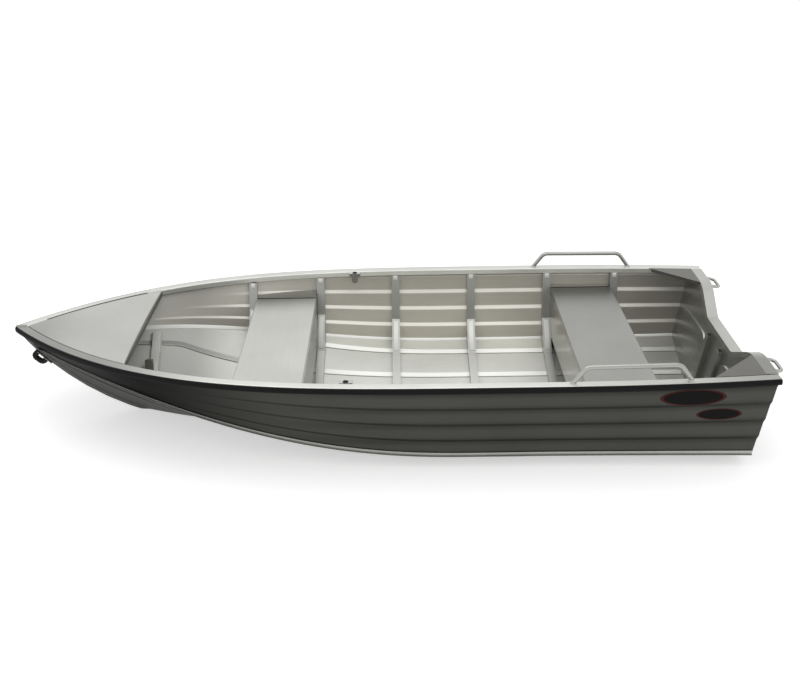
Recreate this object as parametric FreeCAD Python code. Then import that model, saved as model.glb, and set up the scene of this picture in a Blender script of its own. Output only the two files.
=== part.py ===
import FreeCAD, Part
import math
import os

# A welded aluminium rowing boat, 3.7 m long, with a V bottom, pressed plank sides,
# two box seats between full frames, a foredeck and a transom cut down for an outboard.
# Millimetres. X runs from the transom to the bow, Y to port, Z up.
# The origin lies on the centreline, at the top of the transom in plan and at the
# waterline of the empty boat in height.

Vec = FreeCAD.Vector

# Heights above the waterline
SHEER_Z = 490.0
SIDE_DEPTH = 418.0
HULL_DEPTH = 580.0

# Plan shape at the sheer, to the outside of the sheet
SHEER_END_X = 3672.0
SHEER_FULL_X = 0.2996 * SHEER_END_X
HALF_BEAM = 721.0
TRANSOM_TUCK = 43.0
TRANSOM_HALF = HALF_BEAM - TRANSOM_TUCK
SHEER_POWER = 3.85
SHEER_AFT_POWER = 2.4
NOSE_HALF = 12.0

# Plan shape and lift of the chine
CHINE_SHORTER = 82.0
CHINE_END_X = SHEER_END_X - CHINE_SHORTER
CHINE_FULL_X = SHEER_FULL_X
CHINE_TUCK = 94.0
CHINE_HALF = HALF_BEAM - CHINE_TUCK
CHINE_FLARE = 24.0
CHINE_TRANSOM_HALF = CHINE_HALF + CHINE_FLARE
CHINE_POWER = 3.4
CHINE_AFT_POWER = 1.5
CHINE_RISE = 293.0
CHINE_RISE_X = 0.3813 * SHEER_END_X
CHINE_RISE_POWER = 1.2

# Keel line, which sweeps up into the stem
KEEL_FLAT_X = 0.6536 * SHEER_END_X
KEEL_POWER = 2.7
KEEL_ROUND = 0.8475
KEEL_SHORTER = 97.0
KEEL_END_X = SHEER_END_X - KEEL_SHORTER
KEEL_SLOT = 6.0
RAKE = math.radians(9.0)

# Sheet metal and fits
SHEET = 2.0
CLEAR = 0.3
EASY_CLEAR = 0.6
STATIONS = 24
BAR_SIDES = 8
DISC_SIDES = 16
ELBOW_STEPS = 3
CORNER_STEPS = 3
DECK_STEPS = 8

# Pressed planks of the sides, measured down from the sheer
PLANK_STEP = 8.0
PLANK_DROP = 20.0
FIRST_PLANK = 48.0
PLANK_PITCH = 96.0
PLANK_COUNT = 4
PLANK_END_SHARES = (0.71, 0.755, 0.82, 0.90)
PLANK_FADE = 420.0

# Pressed strakes of the bottom: their distance off the centreline, and the least share of
# the way from the chine to the keel that is left outboard of them at the bow
STRAKE_HALVES = (521.0, 329.0)
STRAKE_LEAST = (0.055, 0.2)
STRAKE_FADE = 0.08
STRAKE_WIDTH = 0.062
STRAKE_CREST = 0.7
STRAKE_DEPTH = 9.0

# Gunwale extrusion and its fender
GUNWALE_WIDTH = 45.0
GUNWALE_DEPTH = 30.0
GUNWALE_WALL = 3.0
GUNWALE_INNER = GUNWALE_WIDTH - GUNWALE_WALL - CLEAR
FENDER_WIDTH = 12.0
FENDER_DEPTH = 27.0

# Chine extrusion
CHINE_STRIP_UP = 20.0
CHINE_STRIP_IN = 24.0
CHINE_STRIP_WALL = 2.5
CHINE_LIP = 7.0

# Keel and stem bar
KEEL_BAR_HALF = 15.0
STEM_BAR_HALF = 11.0
KEEL_BAR_DEPTH = 12.0
KEEL_BAR_TAPER = 0.6
STEM_HEAD_GAP = 5.0
STEM_STATIONS = 3
STEM_WRAP = 1.6

# Frames, placed as shares of the length from the bow aft
RIB_SHARES = (0.6939, 0.5910, 0.4744, 0.3562, 0.2375, 0.1321)
RIB_PLACES = [share * SHEER_END_X for share in RIB_SHARES]
RIB_WIDTH = 44.0
RIB_HEIGHT = 28.0
RIB_WALL = 2.0
RIB_KNEE_UP = 115.0
RIB_KNEE_IN = 130.0
FLOOR_FRAME_BACK = 622.0
FLOOR_FRAME_X = SHEER_END_X - FLOOR_FRAME_BACK

# Seats
SEAT_DROP = 100.0
SEAT_END_GAP = 34.0
SEAT_BOX_DEPTH = 262.0
SEAT_FLANGE = 34.0
SEAT_BEND = 7.0
SEAT_CORNER = 60.0

# Foredeck
DECK_LENGTH = 642.0
DECK_AFT_X = SHEER_END_X - DECK_LENGTH
DECK_CAMBER = 12.0
DECK_LIP = 32.0
DECK_TIP_HALF = 3.0

# Transom
TRANSOM_SETBACK = 2.0
TRANSOM_THICK = 50.0
CUTOUT_DEPTH = 105.0
CUTOUT_HALF = 205.0
SHOULDER_HALF = 415.0
SHOULDER_RADIUS = 260.0
CUTOUT_RADIUS = 60.0
CAP_WALL = 3.0
CAP_SKIRT = 24.0
PANEL_INNER_Y = 130.0
PANEL_OUTER_Y = 560.0
PANEL_TOP = 185.0
PANEL_HEIGHT = 190.0
PANEL_PRESS = 8.0
STIFFENER_Y = 95.0
STIFFENER_WIDTH = 40.0
STIFFENER_RISE = 24.0
STIFFENER_TOP = 150.0
STIFFENER_BOTTOM = 475.0

# Quarter knees
KNEE_LENGTH = 235.0
KNEE_BREADTH = 200.0
KNEE_PLATE = 3.0
KNEE_LIP = 16.0

# Grab rails on the gunwales
RAIL_PAST_RIBS = 77.0
RAIL_AFT_X = RIB_PLACES[-1] - RAIL_PAST_RIBS
RAIL_FORE_X = RIB_PLACES[-2] + RAIL_PAST_RIBS
RAIL_HEIGHT = 80.0
RAIL_SPREAD = 58.0
RAIL_TUBE = 22.0
RAIL_BEND = 46.0
RAIL_FOOT = 34.0
RAIL_FOOT_THICK = 3.0

# Lifting handles on the transom
HANDLE_Y = 498.0
HANDLE_SPAN = 115.0
HANDLE_REACH = 55.0
HANDLE_TUBE = 13.0
HANDLE_BEND = 24.0
HANDLE_DROP = 20.0
HANDLE_PAD = 26.0
HANDLE_PAD_THICK = 3.0

# Rowlock sockets
SOCKET_X = 0.5373 * SHEER_END_X
SOCKET_LENGTH = 62.0
SOCKET_WIDTH = 30.0
SOCKET_DEPTH = 58.0
SOCKET_BORE = 13.0
SOCKET_EAR = 14.0
SOCKET_SLOPE = 10.0
SOCKET_TOE = 16.0
SOCKET_ROUND = 13.0

# Bow eye
EYE_DROP = 0.3947 * SIDE_DEPTH
EYE_SPAN = 58.0
EYE_REACH = 40.0
EYE_BAR = 12.0
EYE_BEND = 16.0
EYE_PAD_LENGTH = 92.0
EYE_PAD_WIDTH = 30.0
EYE_PAD_THICK = 4.0


def transom_x(z):
    """Place of the raked transom plane at a height."""
    return (SHEER_Z - z) * math.tan(RAKE)


def fore_taper(x, full_x, end_x, power):
    """Share of the full breadth that is lost ahead of the widest place."""
    return max(0.0, (x - full_x) / (end_x - full_x)) ** power


def aft_taper(x, full_x, power):
    """Share of the way to the transom breadth that is reached behind the widest place."""
    return max(0.0, (full_x - x) / full_x) ** power


def sheer_half(x):
    fore = (HALF_BEAM - NOSE_HALF) * fore_taper(x, SHEER_FULL_X, SHEER_END_X, SHEER_POWER)
    aft = (HALF_BEAM - TRANSOM_HALF) * aft_taper(x, SHEER_FULL_X, SHEER_AFT_POWER)
    return HALF_BEAM - fore - aft


def chine_half(x):
    fore = (CHINE_HALF - NOSE_HALF) * fore_taper(x, CHINE_FULL_X, CHINE_END_X, CHINE_POWER)
    aft = (CHINE_TRANSOM_HALF - CHINE_HALF) * aft_taper(x, CHINE_FULL_X, CHINE_AFT_POWER)
    return CHINE_HALF - fore + aft


def chine_z(x):
    share = max(0.0, (x - CHINE_RISE_X) / (CHINE_END_X - CHINE_RISE_X)) ** CHINE_RISE_POWER
    return SHEER_Z - SIDE_DEPTH + CHINE_RISE * share * share * (3.0 - 2.0 * share)


def keel_z(x):
    share = min(1.0, max(0.0, (x - KEEL_FLAT_X) / (SHEER_END_X - KEEL_FLAT_X)))
    return SHEER_Z - HULL_DEPTH * (1.0 - share ** KEEL_POWER) ** KEEL_ROUND


def stem_x(z):
    """Where the stem line crosses a height."""
    low, high = KEEL_FLAT_X, SHEER_END_X
    for _ in range(50):
        middle = (low + high) / 2.0
        if keel_z(middle) < z:
            low = middle
        else:
            high = middle
    return low


CHINE_START_X = transom_x(SHEER_Z - SIDE_DEPTH)
KEEL_START_X = transom_x(SHEER_Z - HULL_DEPTH)
GUNWALE_TOP_Z = SHEER_Z + CLEAR + GUNWALE_WALL
GUNWALE_FOOT_Z = GUNWALE_TOP_Z - GUNWALE_DEPTH
STEM_TOP_Z = GUNWALE_FOOT_Z - STEM_HEAD_GAP


def sheer_point(t):
    x = SHEER_END_X * t
    return Vec(x, sheer_half(x), SHEER_Z)


def chine_point(t):
    x = CHINE_START_X + (CHINE_END_X - CHINE_START_X) * t
    return Vec(x, chine_half(x), chine_z(x))


def keel_point(t):
    x = KEEL_START_X + (KEEL_END_X - KEEL_START_X) * t
    return Vec(x, KEEL_SLOT, keel_z(x))


def cross_normal(start, end):
    """Outward unit normal, across the boat, of the strip from start to end."""
    dy = end.y - start.y
    dz = end.z - start.z
    size = math.hypot(dy, dz)
    return Vec(0.0, -dz / size, dy / size)


def slant(t):
    """How much a thickness across the boat grows where the side runs in to the stem."""
    a = sheer_point(max(0.0, t - 0.005))
    b = sheer_point(min(1.0, t + 0.005))
    return math.hypot(1.0, (b.y - a.y) / (b.x - a.x))


def strip_point(start, end, share, out):
    """Point on the strip from start to end, moved out along its normal."""
    return start + (end - start) * share + cross_normal(start, end) * out


def side_point(t, share, out):
    return strip_point(sheer_point(t), chine_point(t), share, out * slant(t))


def bottom_point(t, share, out):
    return strip_point(chine_point(t), keel_point(t), share, out * slant(t))


def smooth(share):
    share = min(1.0, max(0.0, share))
    return share * share * (3.0 - 2.0 * share)


def plank_profile(x):
    """Share down the side and press depth of each bend of the planked side sheet at a place.
    Each step dies out on its way to the bow."""
    bends = [(0.0, 0.0)]
    for k in range(PLANK_COUNT):
        edge = FIRST_PLANK + k * PLANK_PITCH
        left = smooth((PLANK_END_SHARES[k] * SHEER_END_X - x) / PLANK_FADE)
        bends.append(((edge - PLANK_DROP) / SIDE_DEPTH, 0.0))
        bends.append((edge / SIDE_DEPTH, -PLANK_STEP * left))
    bends.append((1.0, 0.0))
    return bends


def strake_profile(chine):
    """Share from chine to keel and press depth of each bend of the bottom sheet. The strakes
    run parallel to the keel until the chine closes in on them."""
    bends = [(0.0, 0.0)]
    for half, least in zip(STRAKE_HALVES, STRAKE_LEAST):
        free = (chine.y - half) / (chine.y - KEEL_SLOT)
        place = (free + least + math.hypot(free - least, STRAKE_FADE / 4.0)) / 2.0
        left = 1.0 if least > STRAKE_WIDTH else smooth((free - least) / STRAKE_FADE)
        near = place - STRAKE_WIDTH / 2.0
        bends.append((near, 0.0))
        bends.append((near + STRAKE_WIDTH * STRAKE_CREST, STRAKE_DEPTH * left))
        bends.append((near + STRAKE_WIDTH, 0.0))
    bends.append((1.0, 0.0))
    return bends


def stations(count, bunching=1.35):
    """Places from transom (0) to stem (1), closer together towards the bow."""
    return [1.0 - (1.0 - i / float(count)) ** bunching for i in range(count + 1)]


def loop(points):
    return Part.makePolygon(list(points) + [points[0]])


def loft(rows):
    """Solid skinned straight from each closed section to the next."""
    return Part.makeLoft([loop(row) for row in rows], True, True)


def mirrored(shape):
    return shape.mirror(Vec(0, 0, 0), Vec(0, 1, 0))


def chord(a, b):
    return (b - a).Length


MIDSHIP = 0.3
SIDE_CHORD = chord(sheer_point(MIDSHIP), chine_point(MIDSHIP))
BOTTOM_CHORD = chord(chine_point(MIDSHIP), keel_point(MIDSHIP))


def side_section(t):
    """Closed section of the side sheet, its foot held clear of the bottom sheet."""
    length = chord(sheer_point(t), chine_point(t))
    growth = length / SIDE_CHORD
    first = SHEET / length
    last = 1.0 - (SHEET + CLEAR) / length
    bends = plank_profile(sheer_point(t).x)
    shares = [max(first, min(b[0], last)) for b in bends]
    outer = [side_point(t, s, b[1] * growth) for s, b in zip(shares, bends)]
    inner = [side_point(t, s, b[1] * growth - SHEET) for s, b in zip(shares, bends)]
    return outer + inner[::-1]


def bottom_section(t):
    """Closed section of the bottom sheet, with its strakes pressed down."""
    growth = chord(chine_point(t), keel_point(t)) / BOTTOM_CHORD
    bends = strake_profile(chine_point(t))
    outer = [bottom_point(t, b[0], b[1] * growth) for b in bends]
    inner = [bottom_point(t, b[0], b[1] * growth - SHEET) for b in bends]
    return outer + inner[::-1]


def plan_normal(t):
    """Outward unit normal of the sheer line, seen from above."""
    a = sheer_point(max(0.0, t - 0.002))
    b = sheer_point(min(1.0, t + 0.002))
    run = b - a
    return Vec(-run.y, run.x, 0.0).normalize()


def rail_section(origin, normal, profile):
    """Closed section set square to the sheer line."""
    return [origin + normal * a + Vec(0, 0, b) for a, b in profile]


def gunwale_profile():
    """Channel that caps the side sheet: out from the sheet, up from the sheer."""
    outer = CLEAR + GUNWALE_WALL
    inner = outer - GUNWALE_WIDTH
    top = GUNWALE_TOP_Z - SHEER_Z
    foot = GUNWALE_FOOT_Z - SHEER_Z
    w = GUNWALE_WALL
    return [(outer, foot), (outer, top), (inner, top), (inner, foot),
            (inner + w, foot), (inner + w, top - w), (outer - w, top - w), (outer - w, foot)]


def fender_profile():
    """Bulged rubber strip on the outside of the gunwale."""
    near = CLEAR + GUNWALE_WALL + CLEAR
    far = near + FENDER_WIDTH
    foot = GUNWALE_FOOT_Z - SHEER_Z
    top = foot + FENDER_DEPTH
    mid = (foot + top) / 2.0
    shoulder = near + FENDER_WIDTH * 0.62
    belly = near + FENDER_WIDTH * 0.93
    return [(near, foot), (shoulder, foot), (belly, foot + FENDER_DEPTH * 0.2), (far, mid),
            (belly, top - FENDER_DEPTH * 0.2), (shoulder, top), (near, top)]


def nose_centre():
    """Centre of the small round that joins the two sheer lines at the bow."""
    normal = plan_normal(1.0)
    radius = NOSE_HALF / normal.y
    tip = sheer_point(1.0)
    return Vec(tip.x - normal.x * radius, 0.0, SHEER_Z), radius


def inside_line(gap):
    """Points at a gap from the gunwale's inner face, one at each station."""
    return [sheer_point(t) - plan_normal(t) * (GUNWALE_INNER + gap) for t in stations(STATIONS)]


def inside_gunwale(x, gap):
    """Half breadth at a gap from the gunwale's inner face."""
    line = inside_line(gap)
    first = 0
    while first < len(line) - 2 and line[first + 1].x < x:
        first += 1
    a, b = line[first], line[first + 1]
    return a.y + (b.y - a.y) * (x - a.x) / (b.x - a.x)


def gunwale():
    """Port gunwale, mitred on the centreline and rounded at the bow."""
    profile = gunwale_profile()
    rows = [rail_section(sheer_point(t), plan_normal(t), profile) for t in stations(STATIONS)]
    normal = plan_normal(1.0)
    ahead = Vec(normal.y, -normal.x, 0.0) * (GUNWALE_WIDTH * 1.5)
    body = loft(rows)
    tip = loft([rows[-1], [p + ahead for p in rows[-1]]])
    body = body.fuse(tip)
    reach = 4.0 * GUNWALE_WIDTH
    tall = 4.0 * GUNWALE_DEPTH
    wrong_side = Part.makeBox(4.0 * reach, reach, tall,
                              Vec(SHEER_END_X - 2.0 * reach, -reach + CLEAR / 2.0, SHEER_Z - tall / 2.0))
    body = body.cut(wrong_side)
    centre, radius = nose_centre()
    outside = radius + CLEAR + GUNWALE_WALL
    keep = Part.makeCylinder(outside, tall, centre - Vec(0, 0, tall / 2.0))
    start = centre.x + outside * normal.x
    ahead_box = Part.makeBox(reach, reach, tall, Vec(start, -reach / 2.0, SHEER_Z - tall / 2.0))
    return body.cut(ahead_box.cut(keep)).removeSplitter()


def fender():
    """Port fender strip along the sheer, turned round the nose."""
    profile = fender_profile()
    rows = [rail_section(sheer_point(t), plan_normal(t), profile) for t in stations(STATIONS)]
    centre, radius = nose_centre()
    turn = math.degrees(math.atan2(plan_normal(1.0).y, plan_normal(1.0).x))
    face = Part.Face(loop(rail_section(centre + Vec(radius, 0, 0), Vec(1, 0, 0), profile)))
    nose = face.revolve(centre, Vec(0, 0, 1), turn)
    strip = loft(rows).fuse(nose)
    beyond = Part.makeBox(GUNWALE_WIDTH, GUNWALE_WIDTH, GUNWALE_DEPTH * 2.0,
                          Vec(SHEER_END_X, CLEAR / 2.0 - GUNWALE_WIDTH, SHEER_Z - GUNWALE_DEPTH))
    return strip.cut(beyond)


def run_at(path, t):
    """Unit direction of a line of the hull at a place."""
    return (path(min(1.0, t + 0.003)) - path(max(0.0, t - 0.003))).normalize()


def square_to(vector, run):
    """Unit direction of a vector once its part along the run is taken away."""
    return (vector - run * vector.dot(run)).normalize()


def chine_strip_section(t):
    """Angle extrusion that wraps the outside of the chine, with a small lip."""
    sheer, chine, keel = sheer_point(t), chine_point(t), keel_point(t)
    run = run_at(chine_point, t)
    up = square_to(sheer - chine, run)
    inward = square_to(keel - chine, run)
    side_out = up.cross(run).normalize()
    low_out = run.cross(inward).normalize()
    growth = max(0.5, chord(chine, keel) / BOTTOM_CHORD)
    wall = CHINE_STRIP_WALL
    half_turn = side_out.getAngle(low_out) / 2.0
    spread = (side_out + low_out).normalize()
    corner = chine + spread * (EASY_CLEAR / math.cos(half_turn))
    near = corner + up * CHINE_STRIP_UP * growth
    under = corner + inward * CHINE_STRIP_IN * growth
    outer_corner = corner + spread * (wall / math.cos(half_turn))
    lip = outer_corner + side_out * CHINE_LIP * growth
    lip_top = lip + up * wall
    root = corner + side_out * wall + up * wall
    return [corner, near, near + side_out * wall, root, lip_top, lip,
            outer_corner, under + low_out * wall, under]


def keel_path(s):
    """Outer line of the keel and stem: beside the sheets up to 1, then on to the stem head."""
    reach = min(1.0, s)
    x = KEEL_START_X + (KEEL_END_X - KEEL_START_X) * reach
    x = x + (stem_x(STEM_TOP_Z) - KEEL_END_X) * max(0.0, s - 1.0)
    return Vec(x, 0.0, keel_z(x))


def sheet_beside_keel(point):
    """Direction in which the plating leaves the keel or stem at a place."""
    t = (point.x - KEEL_START_X) / (KEEL_END_X - KEEL_START_X)
    if t < 1.0:
        return chine_point(t) - keel_point(t)
    return sheer_point(0.97) - sheer_point(1.0)


def keel_bar():
    """Keel bar that becomes the stem band, with a V top that fits the sheets."""
    rows = []
    head = [1.0 + (k + 1.0) / STEM_STATIONS for k in range(STEM_STATIONS)]
    for s in stations(STATIONS) + head:
        point = keel_path(s)
        run = (keel_path(s + 0.003) - keel_path(max(0.0, s - 0.003))).normalize()
        out = Vec(run.z, 0.0, -run.x)
        half = KEEL_BAR_HALF + (STEM_BAR_HALF - KEEL_BAR_HALF) * s / 2.0
        sheet = square_to(sheet_beside_keel(point), run)
        slope = min(STEM_WRAP, -sheet.dot(out) / abs(sheet.y))
        wing = max(0.0, half - KEEL_SLOT) * slope
        foot = half * KEEL_BAR_TAPER
        lift = Vec(0, half, 0)
        slot = Vec(0, KEEL_SLOT, 0)
        toe = Vec(0, foot, 0)
        base = point + out * (EASY_CLEAR * math.hypot(1.0, slope))
        low = base + out * KEEL_BAR_DEPTH
        high = base - out * wing
        rows.append([high - lift, base - slot, base + slot, high + lift, low + toe, low - toe])
    return loft(rows)


def cross_point(a, b, c, d):
    """Where the lines a-b and c-d meet, as (y, z) pairs."""
    rx, rz = b[0] - a[0], b[1] - a[1]
    sx, sz = d[0] - c[0], d[1] - c[1]
    share = ((c[0] - a[0]) * sz - (c[1] - a[1]) * sx) / (rx * sz - rz * sx)
    return a[0] + rx * share, a[1] + rz * share


def moved_line(a, b, inset):
    """The line a-b moved inboard by a distance."""
    size = math.hypot(b[0] - a[0], b[1] - a[1])
    ny, nz = (b[1] - a[1]) / size, -(b[0] - a[0]) / size
    return (a[0] + ny * inset, a[1] + nz * inset), (b[0] + ny * inset, b[1] + nz * inset)


def hull_lines(x):
    """Sheer, chine and keel of the port half at a place, as (y, z) pairs."""
    return (sheer_half(x), SHEER_Z), (chine_half(x), chine_z(x)), (0.0, keel_z(x))


def inside_corner(x, side_gap, floor_gap):
    """Side top, chine corner and keel point of a line held clear inside the hull."""
    sheer, chine, keel = hull_lines(x)
    top, low = moved_line(sheer, chine, side_gap)
    out, mid = moved_line(chine, keel, floor_gap)
    corner = cross_point(top, low, out, mid)
    centre = cross_point(out, mid, (0.0, 0.0), (0.0, 1.0))
    return top, corner, centre


def inside_lines(x_a, x_b, side_gap, floor_gap):
    """The tighter of the inside lines at two places, for a piece between them."""
    first = inside_corner(x_a, side_gap, floor_gap)
    second = inside_corner(x_b, side_gap, floor_gap)
    return [(min(p[0], q[0]), max(p[1], q[1])) for p, q in zip(first, second)]


def along(a, b, distance):
    size = math.hypot(b[0] - a[0], b[1] - a[1])
    return a[0] + (b[0] - a[0]) * distance / size, a[1] + (b[1] - a[1]) * distance / size


def at_height(a, b, z):
    return a[0] + (b[0] - a[0]) * (z - a[1]) / (b[1] - a[1]), z


def both_sides(points):
    """Port half outline completed to starboard."""
    return list(points) + [(-y, z) for y, z in reversed(points) if abs(y) > 1e-6]


def plate_x(outline, x, thick):
    """Plate square to X with an outline of (y, z) pairs."""
    wire = loop([Vec(x, y, z) for y, z in outline])
    return Part.Face(wire).extrude(Vec(thick, 0, 0))


SIDE_GAP = PLANK_STEP + SHEET + EASY_CLEAR
FLOOR_GAP = SHEET + EASY_CLEAR
RIB_TOP_Z = GUNWALE_FOOT_Z - CLEAR


def rib(x):
    """Full frame: an open channel up both sides and across the bottom."""
    half = RIB_WIDTH / 2.0
    top, corner, centre = inside_lines(x - half, x + half, SIDE_GAP, FLOOR_GAP)
    head = at_height(top, corner, RIB_TOP_Z)
    outer = both_sides([head, corner, centre])
    bands = []
    for depth in (RIB_HEIGHT, RIB_HEIGHT - RIB_WALL):
        side_a, side_b = moved_line(head, corner, depth)
        floor_a, floor_b = moved_line(corner, centre, depth)
        bend = cross_point(side_a, side_b, floor_a, floor_b)
        crown = cross_point(floor_a, floor_b, (0.0, 0.0), (0.0, 1.0))
        high = along(bend, side_a, RIB_KNEE_UP)
        low = along(bend, crown, RIB_KNEE_IN)
        start = at_height(side_a, side_b, RIB_TOP_Z)
        bands.append([start, high, low, crown])
    web = plate_x(closed_band(outer, both_sides(bands[0])), x - half, RIB_WIDTH)
    hollow = plate_x(closed_band(widened(head, corner, centre), both_sides(bands[1])),
                     x - half + RIB_WALL, RIB_WIDTH - 2.0 * RIB_WALL)
    return web.cut(hollow)


def widened(head, corner, centre):
    """The frame's hull edge moved out past the metal, for the hollow that is cut."""
    past = SHEET
    side_a, side_b = moved_line(head, corner, -past)
    floor_a, floor_b = moved_line(corner, centre, -past)
    bend = cross_point(side_a, side_b, floor_a, floor_b)
    crown = cross_point(floor_a, floor_b, (0.0, 0.0), (0.0, 1.0))
    return both_sides([at_height(side_a, side_b, RIB_TOP_Z), bend, crown])


def closed_band(outer, inner):
    return outer + inner[::-1]


def floor_frame():
    """Short frame across the bottom ahead of the forward seat."""
    half = RIB_WIDTH / 2.0
    x = FLOOR_FRAME_X
    top, corner, centre = inside_lines(x - half, x + half, SIDE_GAP, FLOOR_GAP)
    bands = []
    for depth in (RIB_HEIGHT, RIB_HEIGHT - RIB_WALL):
        side_a, side_b = moved_line(corner, centre, depth)
        crown = cross_point(side_a, side_b, (0.0, 0.0), (0.0, 1.0))
        bands.append([side_a, crown])
    web = plate_x(closed_band(both_sides([corner, centre]), both_sides(bands[0])), x - half, RIB_WIDTH)
    edge_a, edge_b = moved_line(corner, centre, -SHEET)
    base = cross_point(edge_a, edge_b, (0.0, 0.0), (0.0, 1.0))
    hollow = plate_x(closed_band(both_sides([edge_a, base]), both_sides(bands[1])),
                     x - half + RIB_WALL, RIB_WIDTH - 2.0 * RIB_WALL)
    return web.cut(hollow)


def rounded_wire(points, radii):
    """Wire through points with a tangent arc at each inner corner."""
    edges = []
    start = points[0]
    for i in range(1, len(points) - 1):
        before = (points[i - 1] - points[i]).normalize()
        after = (points[i + 1] - points[i]).normalize()
        turn = math.pi - before.getAngle(after)
        cut = radii[i - 1] * math.tan(turn / 2.0)
        first = points[i] + before * cut
        last = points[i] + after * cut
        bisector = (before + after).normalize()
        depth = radii[i - 1] / math.cos(turn / 2.0) - radii[i - 1]
        edges.append(Part.makeLine(start, first))
        edges.append(Part.Arc(first, points[i] + bisector * depth, last).toShape())
        start = last
    edges.append(Part.makeLine(start, points[-1]))
    return Part.Wire(edges)


def stepped_corners(points, radii):
    """Closed outline with each corner cut back in short straight steps."""
    outline = []
    for i, radius in enumerate(radii):
        before = (points[i - 1] - points[i]).normalize()
        after = (points[(i + 1) % len(points)] - points[i]).normalize()
        turn = math.pi - before.getAngle(after)
        centre = points[i] + (before + after).normalize() * (radius / math.cos(turn / 2.0))
        first = points[i] + before * radius * math.tan(turn / 2.0)
        spoke = (first - centre).normalize()
        onward = before * -1.0
        for k in range(CORNER_STEPS + 1):
            angle = turn * k / CORNER_STEPS
            outline.append(centre + (spoke * math.cos(angle) + onward * math.sin(angle)) * radius)
    return outline


def bent_path(points, bend):
    """Places and directions along a bent line: its ends, and steps round each elbow."""
    places = [(points[0], (points[1] - points[0]).normalize())]
    for i in range(1, len(points) - 1):
        before = (points[i - 1] - points[i]).normalize()
        after = (points[i + 1] - points[i]).normalize()
        turn = math.pi - before.getAngle(after)
        first = points[i] + before * bend * math.tan(turn / 2.0)
        centre = points[i] + (before + after).normalize() * (bend / math.cos(turn / 2.0))
        spoke = (first - centre).normalize()
        onward = before * -1.0
        for k in range(ELBOW_STEPS + 1):
            angle = turn * k / ELBOW_STEPS
            place = centre + (spoke * math.cos(angle) + onward * math.sin(angle)) * bend
            places.append((place, onward * math.cos(angle) - spoke * math.sin(angle)))
    places.append((points[-1], (points[-1] - points[-2]).normalize()))
    return places


def tube(points, bend, diameter):
    """Bar bent along a level or upright path, its section a many-sided ring."""
    across = (points[1] - points[0]).cross(points[2] - points[1]).normalize()
    rows = []
    for place, onward in bent_path(points, bend):
        aside = across.cross(onward)
        ring = []
        for k in range(BAR_SIDES):
            angle = 2.0 * math.pi * (k + 0.5) / BAR_SIDES
            ring.append(place + (across * math.cos(angle) + aside * math.sin(angle)) * (diameter / 2.0))
        rows.append(ring)
    return loft(rows)


def disc(centre, axis, diameter, thick):
    """Round plate with a many-sided edge, rising from its centre along an axis."""
    across = axis.cross(Vec(axis.z, axis.x, axis.y)).normalize()
    aside = axis.cross(across)
    ring = []
    for k in range(DISC_SIDES):
        angle = 2.0 * math.pi * (k + 0.5) / DISC_SIDES
        ring.append(centre + (across * math.cos(angle) + aside * math.sin(angle)) * (diameter / 2.0))
    return Part.Face(loop(ring)).extrude(axis * thick)


def seat_span(fore_rib, aft_rib):
    """Ends of a seat, which stands between the faces of two frames."""
    return aft_rib + RIB_WIDTH / 2.0 + CLEAR, fore_rib - RIB_WIDTH / 2.0 - CLEAR


def seat_top(wall_a, wall_b):
    """Folded seat top with rounded nosings, over the walls of its box."""
    z = SHEER_Z - SEAT_DROP
    x_a = wall_a - SHEET - CLEAR
    x_b = wall_b + SHEET + CLEAR
    top, corner, centre = inside_lines(x_a, x_b + RIB_WIDTH, SIDE_GAP, FLOOR_GAP)
    flange = z - SEAT_FLANGE
    half = at_height(top, corner, flange)[0] - SEAT_END_GAP
    outer = rounded_wire([Vec(x_a, -half, flange), Vec(x_a, -half, z), Vec(x_b, -half, z),
                          Vec(x_b, -half, flange)], [SEAT_BEND, SEAT_BEND])
    in_a, in_b = x_a + SHEET, x_b - SHEET
    inner = rounded_wire([Vec(in_b, -half, flange), Vec(in_b, -half, z - SHEET),
                          Vec(in_a, -half, z - SHEET), Vec(in_a, -half, flange)],
                         [SEAT_BEND - SHEET, SEAT_BEND - SHEET])
    ends = [Part.makeLine(Vec(x_b, -half, flange), Vec(in_b, -half, flange)),
            Part.makeLine(Vec(in_a, -half, flange), Vec(x_a, -half, flange))]
    wire = Part.Wire(outer.Edges + [ends[0]] + inner.Edges + [ends[1]])
    return Part.Face(wire).extrude(Vec(0, 2.0 * half, 0))


def seat_box_outline(x_a, x_b, wall, z_top):
    """Half outline of a seat box: down the side, round the chine, level underneath."""
    z_low = SHEER_Z - SEAT_DROP - SEAT_BOX_DEPTH + wall
    top, corner, centre = inside_lines(x_a, x_b, SIDE_GAP + wall, FLOOR_GAP + wall)
    high = at_height(top, corner, z_top)
    if corner[1] > z_low:
        return [high, corner, at_height(corner, centre, z_low)]
    low = at_height(top, corner, z_low + SEAT_CORNER)
    return [high, low, (low[0] - SEAT_CORNER, z_low)]


def seat_box(x_a, x_b):
    """Buoyancy box under the seat top: four walls and a floor shaped to the hull."""
    z_top = SHEER_Z - SEAT_DROP - SEAT_BEND - CLEAR
    length = x_b - x_a
    outer = both_sides(seat_box_outline(x_a, x_b, 0.0, z_top))
    inner = both_sides(seat_box_outline(x_a, x_b, SHEET, z_top + SHEET))
    return plate_x(outer, x_a, length).cut(plate_x(inner, x_a + SHEET, length - 2.0 * SHEET))


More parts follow.
